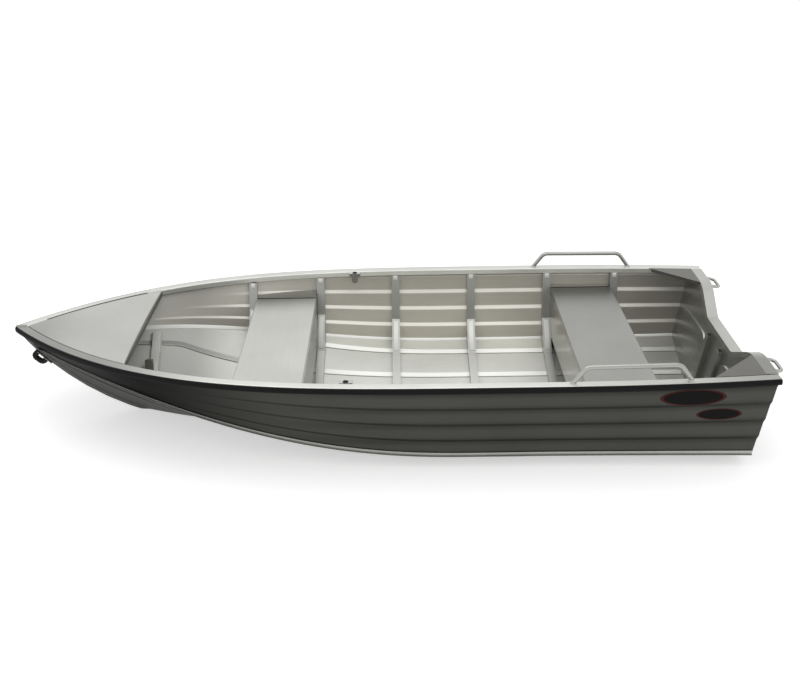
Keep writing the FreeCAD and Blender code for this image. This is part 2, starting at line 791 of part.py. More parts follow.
def foredeck():
    """Arched foredeck between the gunwales, its flats running to the bow, its aft edge folded down."""
    aft_half = inside_gunwale(DECK_AFT_X, EASY_CLEAR)
    edge = [Vec(DECK_AFT_X, aft_half, GUNWALE_TOP_Z)]
    for p in inside_line(EASY_CLEAR):
        if p.x > DECK_AFT_X + DECK_LIP and p.y > DECK_TIP_HALF:
            edge.append(Vec(p.x, p.y, GUNWALE_TOP_Z))
    tip = Vec(edge[-1].x, 0.0, GUNWALE_TOP_Z)
    crown = camber_line(DECK_AFT_X, aft_half, DECK_CAMBER)
    middle = crown[1:-1]
    flats = [[a, b, tip] for a, b in zip(middle, middle[1:])]
    run = edge + [tip]
    for a, b in zip(run, run[1:]):
        flats.append([middle[0], a, b])
        flats.append([middle[-1], across(b), across(a)])
    outline = run + [across(p) for p in reversed(edge)] + middle[::-1]
    plate = faceted_solid(flats, outline, Vec(0, 0, -SHEET))
    foot = Vec(0, 0, GUNWALE_TOP_Z - DECK_LIP - crown[0].z)
    fold = Part.Face(loop(crown + [crown[-1] + foot, crown[0] + foot]))
    return plate.fuse(fold.extrude(Vec(SHEET, 0, 0))).removeSplitter()


def across(point):
    return Vec(point.x, -point.y, point.z)


def faceted_solid(flats, outline, depth):
    """Solid between flat faces and their copies at a depth, closed along the outline."""
    faces = [Part.Face(loop(flat)) for flat in flats]
    faces = faces + [Part.Face(loop([p + depth for p in flat])) for flat in flats]
    for a, b in zip(outline, outline[1:] + outline[:1]):
        faces.append(Part.Face(loop([a, b, b + depth, a + depth])))
    shell = Part.makeShell(faces)
    shell.sewShape()
    solid = Part.makeSolid(shell)
    if solid.Volume < 0:
        solid.reverse()
    return solid


def camber_line(x, half, rise):
    """Points of the deck's arched top across the boat, from port to starboard."""
    line = []
    for k in range(DECK_STEPS + 1):
        share = 2.0 * k / DECK_STEPS - 1.0
        line.append(Vec(x, -half * share, GUNWALE_TOP_Z + rise * (1.0 - share * share)))
    return line


def on_transom(y, z, inset):
    """Point at a depth behind the raked transom plane, at its own height."""
    return Vec(transom_x(z) + inset / math.cos(RAKE), y, z)


def transom_edge_corners(raise_by):
    """Corners of the transom's top edge, raised square to each run."""
    fall = math.atan2(CUTOUT_DEPTH, SHOULDER_HALF - CUTOUT_HALF)
    bend = raise_by * math.tan(fall / 2.0)
    top = SHEER_Z + raise_by
    low = SHEER_Z - CUTOUT_DEPTH + raise_by
    return [(SHOULDER_HALF - bend, top), (CUTOUT_HALF - bend, low)]


def transom_top_wire(end_y, raise_by, inset):
    """Shoulders and cut-out of the transom's top edge, from port to starboard."""
    (y1, z1), (y2, z2) = transom_edge_corners(raise_by)
    flat = [(end_y, z1), (y1, z1), (y2, z2), (-y2, z2), (-y1, z1), (-end_y, z1)]
    points = [on_transom(y, z, inset) for y, z in flat]
    shoulder = SHOULDER_RADIUS + raise_by
    notch = CUTOUT_RADIUS - raise_by
    return rounded_wire(points, [shoulder, notch, notch, shoulder])


def transom_outline(inset, drop):
    """Closed outline inside the hull's aft end, its top edge lowered by a drop."""
    down = []
    t = inset / SHEER_END_X
    gap = SHEET + CLEAR
    growth = chord(sheer_point(t), chine_point(t)) / SIDE_CHORD
    for share, press in plank_profile(0.0)[2:-1]:
        down.append(side_point(t, share, press * growth - gap))
    top, corner, centre = inside_lines(0.0, KEEL_START_X + inset, gap, gap)
    down.append(Vec(0, corner[0], corner[1]))
    shelf = at_height((sheer_half(0.0) - gap, SHEER_Z), (down[0].y, down[0].z), GUNWALE_FOOT_Z - CLEAR)
    notch = inside_gunwale(0.0, CLEAR)
    head = Vec(0, notch, SHEER_Z)
    side = [(notch, SHEER_Z), (notch, shelf[1]), shelf]
    side = side + [(p.y, p.z) for p in down] + [centre]
    port = [on_transom(y, z, inset) for y, z in side]
    starboard = [on_transom(-y, z, inset) for y, z in reversed(side[:-1])]
    edge = transom_top_wire(head.y, -drop, inset)
    first = on_transom(head.y, SHEER_Z - drop, inset)
    last = on_transom(-head.y, SHEER_Z - drop, inset)
    rest = Part.makePolygon([first] + port[1:] + starboard[:-1] + [last])
    return Part.Wire(edge.Edges + rest.Edges)


FORWARD = Vec(1.0 / math.cos(RAKE), 0.0, 0.0)


def transom_plate(inset):
    return Part.Face(transom_outline(inset, 0.0)).extrude(FORWARD * SHEET)


def pressed_panel(y_in, y_out, inset, thick):
    """Rounded panel area on the transom, between two distances off the centreline."""
    radius = PANEL_HEIGHT / 2.0
    z_low = SHEER_Z - PANEL_TOP - PANEL_HEIGHT
    z_high = SHEER_Z - PANEL_TOP
    corners = [on_transom(y, z, inset) for y, z in
               ((y_in, z_high), (y_in, z_low), (y_out, z_low), (y_out, z_high))]
    outline = stepped_corners(corners, [radius * 0.98, radius * 0.98, radius * 0.4, radius * 0.4])
    return Part.Face(loop(outline)).extrude(FORWARD * thick)


def transom_inner():
    """Inner transom sheet with one pressed panel on each side of the middle."""
    inset = TRANSOM_SETBACK + TRANSOM_THICK - SHEET
    plate = transom_plate(inset)
    for sign in (1.0, -1.0):
        y_in, y_out = PANEL_INNER_Y, PANEL_OUTER_Y
        boss = pressed_panel(y_in, y_out, inset, SHEET + PANEL_PRESS)
        pocket = pressed_panel(y_in + SHEET, y_out - SHEET, inset - SHEET, PANEL_PRESS + SHEET)
        if sign < 0:
            boss, pocket = mirrored(boss), mirrored(pocket)
        plate = plate.fuse(boss).cut(pocket)
    return plate.removeSplitter()


def transom_cap():
    """Channel over the transom's top edge, following the shoulders and the cut-out."""
    aft = TRANSOM_SETBACK - CLEAR - CAP_WALL
    fore = TRANSOM_SETBACK + TRANSOM_THICK + CLEAR + CAP_WALL
    end = inside_gunwale(0.0, CLEAR)
    outer = cap_band(end, CLEAR + CAP_WALL, -CAP_SKIRT, aft, fore - aft)
    inner = cap_band(end + CAP_WALL, CLEAR, -CAP_SKIRT - CAP_WALL, aft + CAP_WALL, fore - aft - 2.0 * CAP_WALL)
    return outer.cut(inner)


def cap_band(end_y, high, low, inset, thick):
    """Solid band between two raises of the transom's top edge."""
    upper = transom_top_wire(end_y, high, inset)
    lower = transom_top_wire(end_y, low, inset)
    ends = [Part.makeLine(on_transom(s * end_y, SHEER_Z + high, inset),
                          on_transom(s * end_y, SHEER_Z + low, inset)) for s in (1.0, -1.0)]
    wire = Part.Wire(Part.__sortEdges__(upper.Edges + lower.Edges + ends))
    return Part.Face(wire).extrude(FORWARD * thick)


def transom_stiffener():
    """Upright channel on the inner transom, port of the middle."""
    inset = TRANSOM_SETBACK + TRANSOM_THICK + CLEAR
    y = STIFFENER_Y
    outline = []
    for width, gap, start in ((STIFFENER_WIDTH, 0.0, 0.0), (STIFFENER_WIDTH - 2.0 * RIB_WALL, 1.0, -1.0)):
        z_high = SHEER_Z - STIFFENER_TOP + gap
        z_low = SHEER_Z - STIFFENER_BOTTOM - gap
        corners = [on_transom(y + a * width / 2.0, z, inset + start)
                   for a, z in ((1, z_high), (-1, z_high), (-1, z_low), (1, z_low))]
        depth = STIFFENER_RISE if gap == 0.0 else STIFFENER_RISE - RIB_WALL + 1.0
        outline.append(Part.Face(loop(corners)).extrude(FORWARD * depth))
    return outline[0].cut(outline[1])


def quarter_knee():
    """Corner plate between the port gunwale and the transom cap."""
    z = GUNWALE_TOP_Z - KNEE_PLATE
    inset = TRANSOM_SETBACK + TRANSOM_THICK + CLEAR + CAP_WALL + CLEAR
    x_a = transom_x(z) + inset / math.cos(RAKE)
    y_a = inside_gunwale(x_a, EASY_CLEAR)
    y_b = inside_gunwale(x_a + KNEE_LENGTH, EASY_CLEAR)
    corners = [Vec(x_a, y_a, z), Vec(x_a + KNEE_LENGTH, y_b, z), Vec(x_a, y_a - KNEE_BREADTH, z)]
    plate = Part.Face(loop(corners)).extrude(Vec(0, 0, KNEE_PLATE))
    edge = (corners[2] - corners[1]).normalize()
    inward = Vec(-edge.y, edge.x, 0.0)
    if inward.dot(corners[0] - corners[1]) < 0:
        inward = inward * -1.0
    trim = KNEE_LIP
    a = corners[1] + edge * trim
    b = corners[2] - edge * trim
    lip = Part.Face(loop([a, b, b + inward * KNEE_PLATE, a + inward * KNEE_PLATE]))
    lip = lip.extrude(Vec(0, 0, -KNEE_LIP))
    return plate.fuse(lip)


def grab_rail():
    """Low tube rail that stands on the port gunwale beside the aft seat."""
    z = GUNWALE_TOP_Z + CLEAR
    middle = GUNWALE_WIDTH / 2.0 - CLEAR - GUNWALE_WALL
    y_a = sheer_half(RAIL_AFT_X) - middle
    y_b = sheer_half(RAIL_FORE_X) - middle
    run = (y_b - y_a) / (RAIL_FORE_X - RAIL_AFT_X)
    low_a = Vec(RAIL_AFT_X, y_a, z)
    low_b = Vec(RAIL_FORE_X, y_b, z)
    rise = Vec(RAIL_SPREAD, RAIL_SPREAD * run, RAIL_HEIGHT)
    fall = Vec(-RAIL_SPREAD, -RAIL_SPREAD * run, RAIL_HEIGHT)
    lift = Vec(0, 0, RAIL_FOOT_THICK)
    bar = tube([low_a + lift * 0.5, low_a + rise, low_b + fall, low_b + lift * 0.5], RAIL_BEND, RAIL_TUBE)
    for foot in (low_a, low_b):
        bar = bar.fuse(disc(foot, Vec(0, 0, 1), RAIL_FOOT, RAIL_FOOT_THICK))
    below = Part.makeBox(RAIL_FORE_X, RAIL_FOOT * 2.0, RAIL_TUBE,
                         Vec(RAIL_AFT_X / 2.0, y_a - RAIL_FOOT, z - RAIL_TUBE))
    return bar.cut(below)


def transom_handle():
    """Lifting handle on the outside of the transom, to port."""
    inset = TRANSOM_SETBACK - CLEAR - CAP_WALL - CLEAR
    z = SHEER_Z - HANDLE_DROP
    out = Vec(-math.cos(RAKE), 0.0, -math.sin(RAKE))
    feet = [on_transom(HANDLE_Y + s * HANDLE_SPAN / 2.0, z, inset) for s in (-1.0, 1.0)]
    points = [feet[0], feet[0] + out * HANDLE_REACH, feet[1] + out * HANDLE_REACH, feet[1]]
    bar = tube(points, HANDLE_BEND, HANDLE_TUBE)
    for foot in feet:
        bar = bar.fuse(disc(foot, out, HANDLE_PAD, HANDLE_PAD_THICK))
    return bar


def rowlock_socket():
    """Eared socket casting inside the port gunwale, bored for the rowlock pin."""
    top = GUNWALE_TOP_Z
    half = SOCKET_LENGTH / 2.0
    y = min(inside_gunwale(SOCKET_X - half, CLEAR), inside_gunwale(SOCKET_X + half, CLEAR))
    low = top - SOCKET_DEPTH
    ear = top - SOCKET_EAR
    corners = [Vec(SOCKET_X + dx, y, z) for dx, z in
               ((half, top), (half, ear), (SOCKET_TOE, ear - SOCKET_SLOPE), (SOCKET_TOE, low),
                (-SOCKET_TOE, low), (-SOCKET_TOE, ear - SOCKET_SLOPE), (-half, ear), (-half, top))]
    rounds = [SOCKET_ROUND * share for share in (0.25, 0.4, 0.4, 1.0)]
    outline = stepped_corners(corners, rounds + rounds[::-1])
    block = Part.Face(loop(outline)).extrude(Vec(0, -SOCKET_WIDTH, 0))
    bore = Part.makeCylinder(SOCKET_BORE / 2.0, SOCKET_DEPTH * 1.2,
                             Vec(SOCKET_X, y - SOCKET_WIDTH / 2.0, low - SOCKET_DEPTH * 0.1))
    return block.cut(bore)


def bow_eye():
    """Fixed eye on the stem for the towing line."""
    z = SHEER_Z - EYE_DROP
    x = stem_x(z)
    low, high = z - EYE_SPAN / 3.0, z + EYE_SPAN / 3.0
    run = (Vec(stem_x(high), 0, high) - Vec(stem_x(low), 0, low)).normalize()
    out = Vec(run.z, 0, -run.x)
    base = Vec(x, 0, z) + out * (EASY_CLEAR + KEEL_BAR_DEPTH + CLEAR)
    pad = Part.makeBox(EYE_PAD_LENGTH, EYE_PAD_WIDTH, EYE_PAD_THICK,
                       Vec(-EYE_PAD_LENGTH / 2.0, -EYE_PAD_WIDTH / 2.0, 0))
    turn = FreeCAD.Rotation(run, Vec(0, 1, 0), out, "ZXY")
    pad.Placement = FreeCAD.Placement(base, turn)
    a = base - run * (EYE_SPAN / 2.0)
    b = base + run * (EYE_SPAN / 2.0)
    bar = tube([a, a + out * EYE_REACH, b + out * EYE_REACH, b], EYE_BEND, EYE_BAR)
    return bar.fuse(pad)


def build():
    parts = {}

    def pair(name, shape):
        parts[name + "_port"] = shape
        parts[name + "_starboard"] = mirrored(shape)

    places = stations(STATIONS)
    pair("hull_side", loft([side_section(t) for t in places]))
    pair("hull_bottom", loft([bottom_section(t) for t in places]))
    pair("chine_strip", loft([chine_strip_section(t) for t in places[:-1]]))
    pair("gunwale", gunwale())
    pair("fender", fender())
    parts["keel_bar"] = keel_bar()
    for number, x in enumerate(RIB_PLACES, 1):
        parts["frame_%d" % number] = rib(x)
    parts["frame_bow_floor"] = floor_frame()
    for name, fore, aft in (("forward", 0, 1), ("aft", 4, 5)):
        x_a, x_b = seat_span(RIB_PLACES[fore], RIB_PLACES[aft])
        parts["seat_top_" + name] = seat_top(x_a, x_b)
        parts["seat_box_" + name] = seat_box(x_a, x_b)
    parts["foredeck"] = foredeck()
    parts["transom_outer"] = transom_plate(TRANSOM_SETBACK)
    parts["transom_inner"] = transom_inner()
    parts["transom_cap"] = transom_cap()
    pair("transom_stiffener", transom_stiffener())
    pair("quarter_knee", quarter_knee())
    pair("grab_rail", grab_rail())
    pair("transom_handle", transom_handle())
    pair("rowlock_socket", rowlock_socket())
    parts["bow_eye"] = bow_eye()
    return parts


def main():
    os.makedirs("parts", exist_ok=True)
    for name, shape in build().items():
        shape.exportStep("parts/%s.step" % name)


main()
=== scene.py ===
from math import atan2, cos, pi, radians, sin, tan

import bpy
import numpy as np
from mathutils import Matrix, Vector


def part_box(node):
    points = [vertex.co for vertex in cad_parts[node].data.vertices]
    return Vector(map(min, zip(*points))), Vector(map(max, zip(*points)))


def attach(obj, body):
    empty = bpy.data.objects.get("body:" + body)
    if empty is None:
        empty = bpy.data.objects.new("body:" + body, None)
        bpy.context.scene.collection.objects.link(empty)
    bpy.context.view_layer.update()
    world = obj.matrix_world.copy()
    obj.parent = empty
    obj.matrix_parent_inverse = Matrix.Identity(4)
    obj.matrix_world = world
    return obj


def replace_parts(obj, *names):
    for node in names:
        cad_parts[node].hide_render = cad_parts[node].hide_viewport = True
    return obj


# An open aluminium rowing boat. Metres, +X to the bow, +Y to port, +Z up,
# with the waterline at height zero.

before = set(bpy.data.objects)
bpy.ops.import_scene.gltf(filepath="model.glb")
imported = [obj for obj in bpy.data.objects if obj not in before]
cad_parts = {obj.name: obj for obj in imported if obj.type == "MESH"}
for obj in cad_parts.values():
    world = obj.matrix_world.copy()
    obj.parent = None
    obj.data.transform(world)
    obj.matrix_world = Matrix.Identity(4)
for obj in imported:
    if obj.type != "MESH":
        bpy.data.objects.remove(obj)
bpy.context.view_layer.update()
scene = bpy.context.scene

# Camera on the port side: its place, then how it is turned, tilted and rolled in degrees
CAMERA_PLACE = (1.732, 4.629, 2.651)
CAMERA_TURNS = ((179.879, "Z"), (63.388, "X"), (-0.788, "Z"))
LENS = 44.83

# Light: each lamp has a name, a place, the point it aims at, its two sizes and its power
WORLD_LIGHT = 0.68
FLOOR_SHADE = 0.86
FLOOR_GLOW = 0.50
FLOOR_REACH = 80.0
FLOOR_MIDDLE = np.array([1.6, 0.0, 0.0])
LAMPS = (("top_light", (1.8, 0.4, 4.6), (1.8, 0.0, 0.2), (5.0, 3.0), 46.0),
         ("bow_light", (6.5, 2.5, 2.8), (2.4, 0.0, 0.3), (3.0, 2.0), 6.0))

# Hull lines, as in the solid model, in metres
SHEER_Z = 0.490
SIDE_DEPTH = 0.418
HULL_DEPTH = 0.580
SHEER_END_X = 3.672
SHEER_FULL_X = 0.2996 * SHEER_END_X
HALF_BEAM = 0.721
TRANSOM_HALF = 0.678
SHEER_POWER = 3.85
SHEER_AFT_POWER = 2.4
NOSE_HALF = 0.012
CHINE_END_X = 3.590
CHINE_HALF = 0.627
CHINE_TRANSOM_HALF = 0.651
CHINE_POWER = 3.4
CHINE_AFT_POWER = 1.5
CHINE_RISE = 0.293
CHINE_RISE_X = 0.3813 * SHEER_END_X
CHINE_RISE_POWER = 1.2
KEEL_FLAT_X = 0.6536 * SHEER_END_X
KEEL_POWER = 2.7
KEEL_ROUND = 0.8475
KEEL_END_X = 3.575
KEEL_SLOT = 0.006
RAKE = radians(9.0)
SHEET = 0.002
CLEAR = 0.0003
EASY_CLEAR = 0.0006

# Pressed sheets, gunwale, fender, chine extrusion and deck
PLANK_STEP = 0.008
PLANK_DROP = 0.020
FIRST_PLANK = 0.048
PLANK_PITCH = 0.096
PLANK_ENDS_X = SHEER_END_X * np.array([0.71, 0.755, 0.82, 0.90])
PLANK_FADE = 0.420
PLANK_BEND = 0.012
STRAKE_HALVES = (0.521, 0.329)
STRAKE_LEAST = (0.055, 0.2)
STRAKE_FADE = 0.08
STRAKE_WIDTH = 0.062
STRAKE_CREST = 0.7
STRAKE_DEPTH = 0.009
STRAKE_BEND = 0.008
GUNWALE_WIDTH = 0.045
GUNWALE_DEPTH = 0.030
GUNWALE_WALL = 0.003
FENDER_WIDTH = 0.012
FENDER_DEPTH = 0.027
CHINE_STRIP_UP = 0.020
CHINE_STRIP_IN = 0.024
CHINE_STRIP_WALL = 0.0025
CHINE_LIP = 0.007
GUNWALE_TOP_Z = SHEER_Z + CLEAR + GUNWALE_WALL
GUNWALE_INNER = GUNWALE_WIDTH - GUNWALE_WALL - CLEAR
DECK_AFT_X = 3.030
DECK_CAMBER = 0.012
DECK_LIP = 0.032
DECK_BEND = 0.004

# Fineness of the surfaces: the chine pieces end some rows short of the stem, and a bend
# uses a share of its leg and has holding points beside it
ROWS = 180
BUNCHING = 1.35
STEM_ROWS = 6
NOSE_TURNS = 8
CRISP = radians(38.0)
BEND_ROOM = 0.42
GRIP = 0.0012
GRIP_ROOM = 0.05

UP = np.array([0.0, 0.0, 1.0])
ALONG_X = (1.0, 0.0, 0.0)
ALONG_Y = (0.0, 1.0, 0.0)
MIRROR = np.array([1.0, -1.0, 1.0])
SIDES = (("port", np.ones(3)), ("starboard", MIRROR))


def mm(*pairs):
    """Profile of a round piece: pairs of radius and height in millimetres."""
    return np.array(pairs) / 1000.0


# Directions of the rolling streaks: how often the grain repeats along each axis
ALONG = (5.0, 120.0, 120.0)
ACROSS = (120.0, 5.0, 120.0)
UPRIGHT = (120.0, 120.0, 5.0)

# Frames, seats and fittings
RIBS_X = SHEER_END_X * np.array([0.6939, 0.5910, 0.4744, 0.3562, 0.2375, 0.1321])
RIB_HALF_WIDTH = 0.022
RIB_HEIGHT = 0.028
RIB_KNEE_UP = 0.115
RIB_KNEE_IN = 0.130
SIDE_GAP = PLANK_STEP + SHEET + EASY_CLEAR
FLOOR_GAP = SHEET + EASY_CLEAR
GUSSET_LIFT = 0.0014
GUSSET_ENDS = (0.012, 0.016)
GUSSET_SIZE = (0.027, 0.0028)
TAB_RISE = np.array([0.0, -1.0, 0.25])
TAB_LIFT = 0.0016
TAB_ENDS = (0.001, 0.024)
TAB_SIZE = (0.024, 0.003)
BEAD_WIDTH = 0.012
BEAD_SHARE = 0.12
BEAD_RISE = SHEET + 0.0022
POST_FOOT = (3.071, -0.14, 0.150)
POST_HEAD = (3.071, -0.14, 0.214)
POST_SIZE = (0.044, 0.026)
SEAT_BEND = 0.007
SEAT_EDGE = 0.0006
SEAT_LAP = 0.006
SEAT_END_INSET = 0.003
SEAT_END_GAP = SHEET + 0.0015
SHADE_LINE_INSET = 0.004
SHADE_LINE_SHIFT = 0.001
SHADE_LINE_SIZE = (0.008, 0.003)
RAIL_PAST_RIBS = 0.077
RAIL_HEIGHT = 0.080
RAIL_SPREAD = 0.058
RAIL_TUBE = 0.022
RAIL_BEND = 0.046
RAIL_LIFT = 0.0015
RAIL_LEAN = 0.04
RAIL_FOOT = mm((4, 0), (16.5, 0), (17, 0.6), (17, 2.2), (16.2, 3), (4, 3))
RAIL_WELD = mm((8, 1.5), (14.2, 2.8), (13.5, 4.8), (11.5, 7), (8, 7.5))
HANDLE_Y = 0.498
HANDLE_SPAN = 0.115
HANDLE_REACH = 0.055
HANDLE_TUBE = 0.017
HANDLE_BEND = 0.024
HANDLE_Z = SHEER_Z - 0.020
HANDLE_PAD_THICK = 0.003
HANDLE_PAD = mm((6, 0), (12.8, 0), (13, 0.5), (13, 2.4), (12.2, 3), (6, 3))
HANDLE_WELD = mm((7, 2.5), (11.2, 2.8), (10.5, 4.5), (8.6, 6), (7, 6.2))
TRANSOM_INSET = 0.002
TRANSOM_THICK = 0.050
PANEL_INNER_Y = 0.130
PANEL_OUTER_Y = 0.560
PANEL_TOP = 0.185
PANEL_HEIGHT = 0.190
PANEL_PRESS = 0.0086
PANEL_ROLL = 0.006
PANEL_FLARE = 0.001
SOCKET = (0.5373 * SHEER_END_X, 0.65075, GUNWALE_TOP_Z)
SOCKET_BUSH = mm((6.6, -10), (6.6, 0.2), (7.2, 1.6), (12.5, 1.6), (13.8, 0.6), (13.8, -0.4), (10, -0.4))
SOCKET_SHADE_DISC = mm((1, -6), (6.4, -6), (6.4, -5.4), (1, -5.4))
EYE_BASE = np.array([3.56597, 0.0, 0.31639])
EYE_RUN = np.array([0.66856, 0.0, 0.74366])
EYE_OUT = np.array([0.74366, 0.0, -0.66856])
EYE_FEET = (-0.012, 0.044)
EYE_REACH = (0.036, 0.040)
EYE_BEND = 0.020
EYE_THICK = 0.029
EYE_PLATE = 0.046
EYE_PLATE_OUT = 0.002
EYE_PLATE_SIZE = (0.030, 0.004)
EYE_BOLT_SHARE = 0.86
EYE_BOLT = mm((2, 0), (5.5, 0), (5.5, 3), (4, 4.2), (1, 4.5))
DRAIN_Y = 0.10
DRAIN_Z = 0.275
DRAIN_PLUG = mm((2, 0), (10, 0), (10.5, 1.5), (9.5, 3), (6, 4), (5.5, 8), (1, 8.2))
NOSE_PLATE_X = (3.632, 3.686)
NOSE_PLATE_LIFT = 0.0006
NOSE_PLATE_SIZE = (0.024, 0.0018)
DECK_SHADE_LINE_X = (3.10, 3.55)
# Name, ends along the boat and ends in height of each oval
STICKERS = (("large", 0.239, 0.543, 0.362, 0.445), ("small", 0.151, 0.362, 0.275, 0.333))
STICKER_FACES = (0.0009, 0.0002)


def unit(vectors):
    return vectors / np.maximum(np.linalg.norm(vectors, axis=-1, keepdims=True), 1e-12)


def smooth(share):
    share = np.clip(share, 0.0, 1.0)
    return share * share * (3.0 - 2.0 * share)


def half_breadth(x, full, end_x, power, aft_change, aft_power):
    """Half breadth that narrows to the nose, with a change that grows towards the transom."""
    fore = np.clip((x - SHEER_FULL_X) / (end_x - SHEER_FULL_X), 0.0, None) ** power
    aft = np.clip((SHEER_FULL_X - x) / SHEER_FULL_X, 0.0, None) ** aft_power
    return full - (full - NOSE_HALF) * fore + aft_change * aft


def sheer_half(x):
    return half_breadth(x, HALF_BEAM, SHEER_END_X, SHEER_POWER, TRANSOM_HALF - HALF_BEAM, SHEER_AFT_POWER)


def chine_half(x):
    change = CHINE_TRANSOM_HALF - CHINE_HALF
    return half_breadth(x, CHINE_HALF, CHINE_END_X, CHINE_POWER, change, CHINE_AFT_POWER)


def chine_z(x):
    share = np.clip((x - CHINE_RISE_X) / (CHINE_END_X - CHINE_RISE_X), 0.0, None)
    return SHEER_Z - SIDE_DEPTH + CHINE_RISE * smooth(share ** CHINE_RISE_POWER)


def keel_z(x):
    share = np.clip((x - KEEL_FLAT_X) / (SHEER_END_X - KEEL_FLAT_X), 0.0, 1.0)
    return SHEER_Z - HULL_DEPTH * (1.0 - share ** KEEL_POWER) ** KEEL_ROUND


def transom_x(z):
    return (SHEER_Z - z) * tan(RAKE)


def on_transom(y, z, inset):
    return np.array([transom_x(z) + inset / cos(RAKE), y, z])


def line_points(x, y, z):
    return np.stack(np.broadcast_arrays(x, y, z), axis=-1).astype(float)


def sheer_line(t):
    x = SHEER_END_X * t
    return line_points(x, sheer_half(x), SHEER_Z)


def chine_line(t):
    start = transom_x(SHEER_Z - SIDE_DEPTH)
    x = start + (CHINE_END_X - start) * t
    return line_points(x, chine_half(x), chine_z(x))


def keel_line(t):
    start = transom_x(SHEER_Z - HULL_DEPTH)
    x = start + (KEEL_END_X - start) * t
    return line_points(x, KEEL_SLOT, keel_z(x))


def lengthwise():
    """Places from transom (0) to stem (1), closer together towards the bow."""
    return 1.0 - (1.0 - np.linspace(0.0, 1.0, ROWS)) ** BUNCHING


def run_along(line, t, step):
    """The way from a little aft of each place to a little ahead of it."""
    return line(np.clip(t + step, 0.0, 1.0)) - line(np.clip(t - step, 0.0, 1.0))


def slant(t):
    """How much longer the sheer line is than its length along the boat."""
    run = run_along(sheer_line, t, 0.005)
    return np.hypot(1.0, run[:, 1] / run[:, 0])


def plan_normal(t):
    """Outward direction of the sheer line, seen from above."""
    run = run_along(sheer_line, t, 0.002)
    return unit(np.cross(UP, run))


def chords(a, b):
    return np.linalg.norm(b - a, axis=-1)


def legs(last, here, following):
    """Unit legs from each corner to its neighbours, the shorter one's length, the turn."""
    room = np.minimum(chords(last, here), chords(here, following))
    before, after = unit(last - here), unit(following - here)
    return before, after, room, pi - np.arccos(np.clip((before * after).sum(-1), -1.0, 1.0))


def soften(points, radius, steps=3, grip=GRIP, closed=True):
    """Polyline with every corner turned into a short arc, and a holding point beside it."""
    points = np.asarray(points, float)
    before, after, room, turn = legs(np.roll(points, 1, axis=0), points, np.roll(points, -1, axis=0))
    half = np.tan(np.maximum(turn, 1e-4) / 2.0)
    cut = np.minimum(np.broadcast_to(radius, turn.shape) * half, BEND_ROOM * room)
    arc = cut / half
    centre = points + unit(before + after) * (arc / np.cos(turn / 2.0))[:, None]
    first = points + before * cut[:, None]
    angle = turn[:, None, None] * np.linspace(0.0, 1.0, steps + 1)[None, :, None]
    swing = (first - centre)[:, None] * np.cos(angle) - before[:, None] * arc[:, None, None] * np.sin(angle)
    hold = np.minimum(grip, GRIP_ROOM * room)[:, None]
    start = (first + before * hold)[:, None]
    end = (points + after * (cut[:, None] + hold))[:, None]
    full = np.concatenate([start, centre[:, None] + swing, end], axis=1)
    if closed:
        return full.reshape(-1, points.shape[1])
    inner = full[1:-1].reshape(-1, points.shape[1])
    return np.concatenate([points[:1], inner, points[-1:]])


def skin(name, rows, material, outward=None):
    """Surface through rows of points. With an outward direction it is an open sheet that
    faces that way. Without one each row is a ring, and both ends are capped."""
    rows = np.asarray(rows, float)
    count, width = rows.shape[:2]
    closed = outward is None
    index = np.arange(count * width).reshape(count, width)
    wrapped = np.concatenate([index, index[:, :1]], axis=1) if closed else index
    quads = np.stack([wrapped[:-1, :-1], wrapped[1:, :-1], wrapped[1:, 1:], wrapped[:-1, 1:]], -1).reshape(-1, 4)
    verts = rows.reshape(-1, 3)
    ends = [index[0], index[-1, ::-1]] if closed else []
    if closed:
        fans = [np.stack([np.full(width - 2, end[0]), end[1:-1], end[2:]], -1) for end in ends]
        corner = verts[np.concatenate([quads[:, :3], quads[:, [0, 2, 3]]] + fans)] - verts.mean(0)
        inside_out = (np.cross(corner[:, 0], corner[:, 1]) * corner[:, 2]).sum() < 0.0
    else:
        corner = verts[quads]
        normal = np.cross(corner[:, 2] - corner[:, 0], corner[:, 3] - corner[:, 1])
        inside_out = (normal * outward).sum() < 0.0
    if inside_out:
        quads, ends = quads[:, ::-1], [end[::-1] for end in ends]
    mesh = bpy.data.meshes.new(name)
    mesh.from_pydata(verts.tolist(), [], quads.tolist() + [end.tolist() for end in ends])
    mesh.validate()
    mesh.shade_smooth()
    mesh.set_sharp_from_angle(angle=CRISP)
    mesh.materials.append(material)
    piece = bpy.data.objects.new(name, mesh)
    scene.collection.objects.link(piece)
    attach(piece, "root")
    return piece


def skin_pair(name, rows, material):
    """A surface to port and its mirror image to starboard."""
    for side, turn in SIDES:
        skin("%s_%s_skin" % (name, side), rows * turn, material)


def across_normal(start, end):
    """Outward direction, across the boat, of the strip from start to end."""
    return unit(np.cross(ALONG_X, end - start))


def strip_rows(start, end, share, out):
    """Point a share of the way from start to end, moved out along the strip's normal."""
    normal = across_normal(start, end)
    return start[:, None] + (end - start)[:, None] * share[..., None] + normal[:, None] * out[..., None]


MIDSHIP = np.array([0.3])
SIDE_CHORD = float(chords(sheer_line(MIDSHIP), chine_line(MIDSHIP))[0])
BOTTOM_CHORD = float(chords(chine_line(MIDSHIP), keel_line(MIDSHIP))[0])

# Fold lines down the side, as shares of its depth: each plank's step begins and ends
PLANK_EDGES = FIRST_PLANK + PLANK_PITCH * np.arange(len(PLANK_ENDS_X))
PLANK_FOLDS = np.stack([PLANK_EDGES - PLANK_DROP, PLANK_EDGES], 1).ravel() / SIDE_DEPTH
PLANK_FOLDS = np.concatenate([[0.0], PLANK_FOLDS, [1.0]])
PLANK_FEET = slice(2, -1, 2)


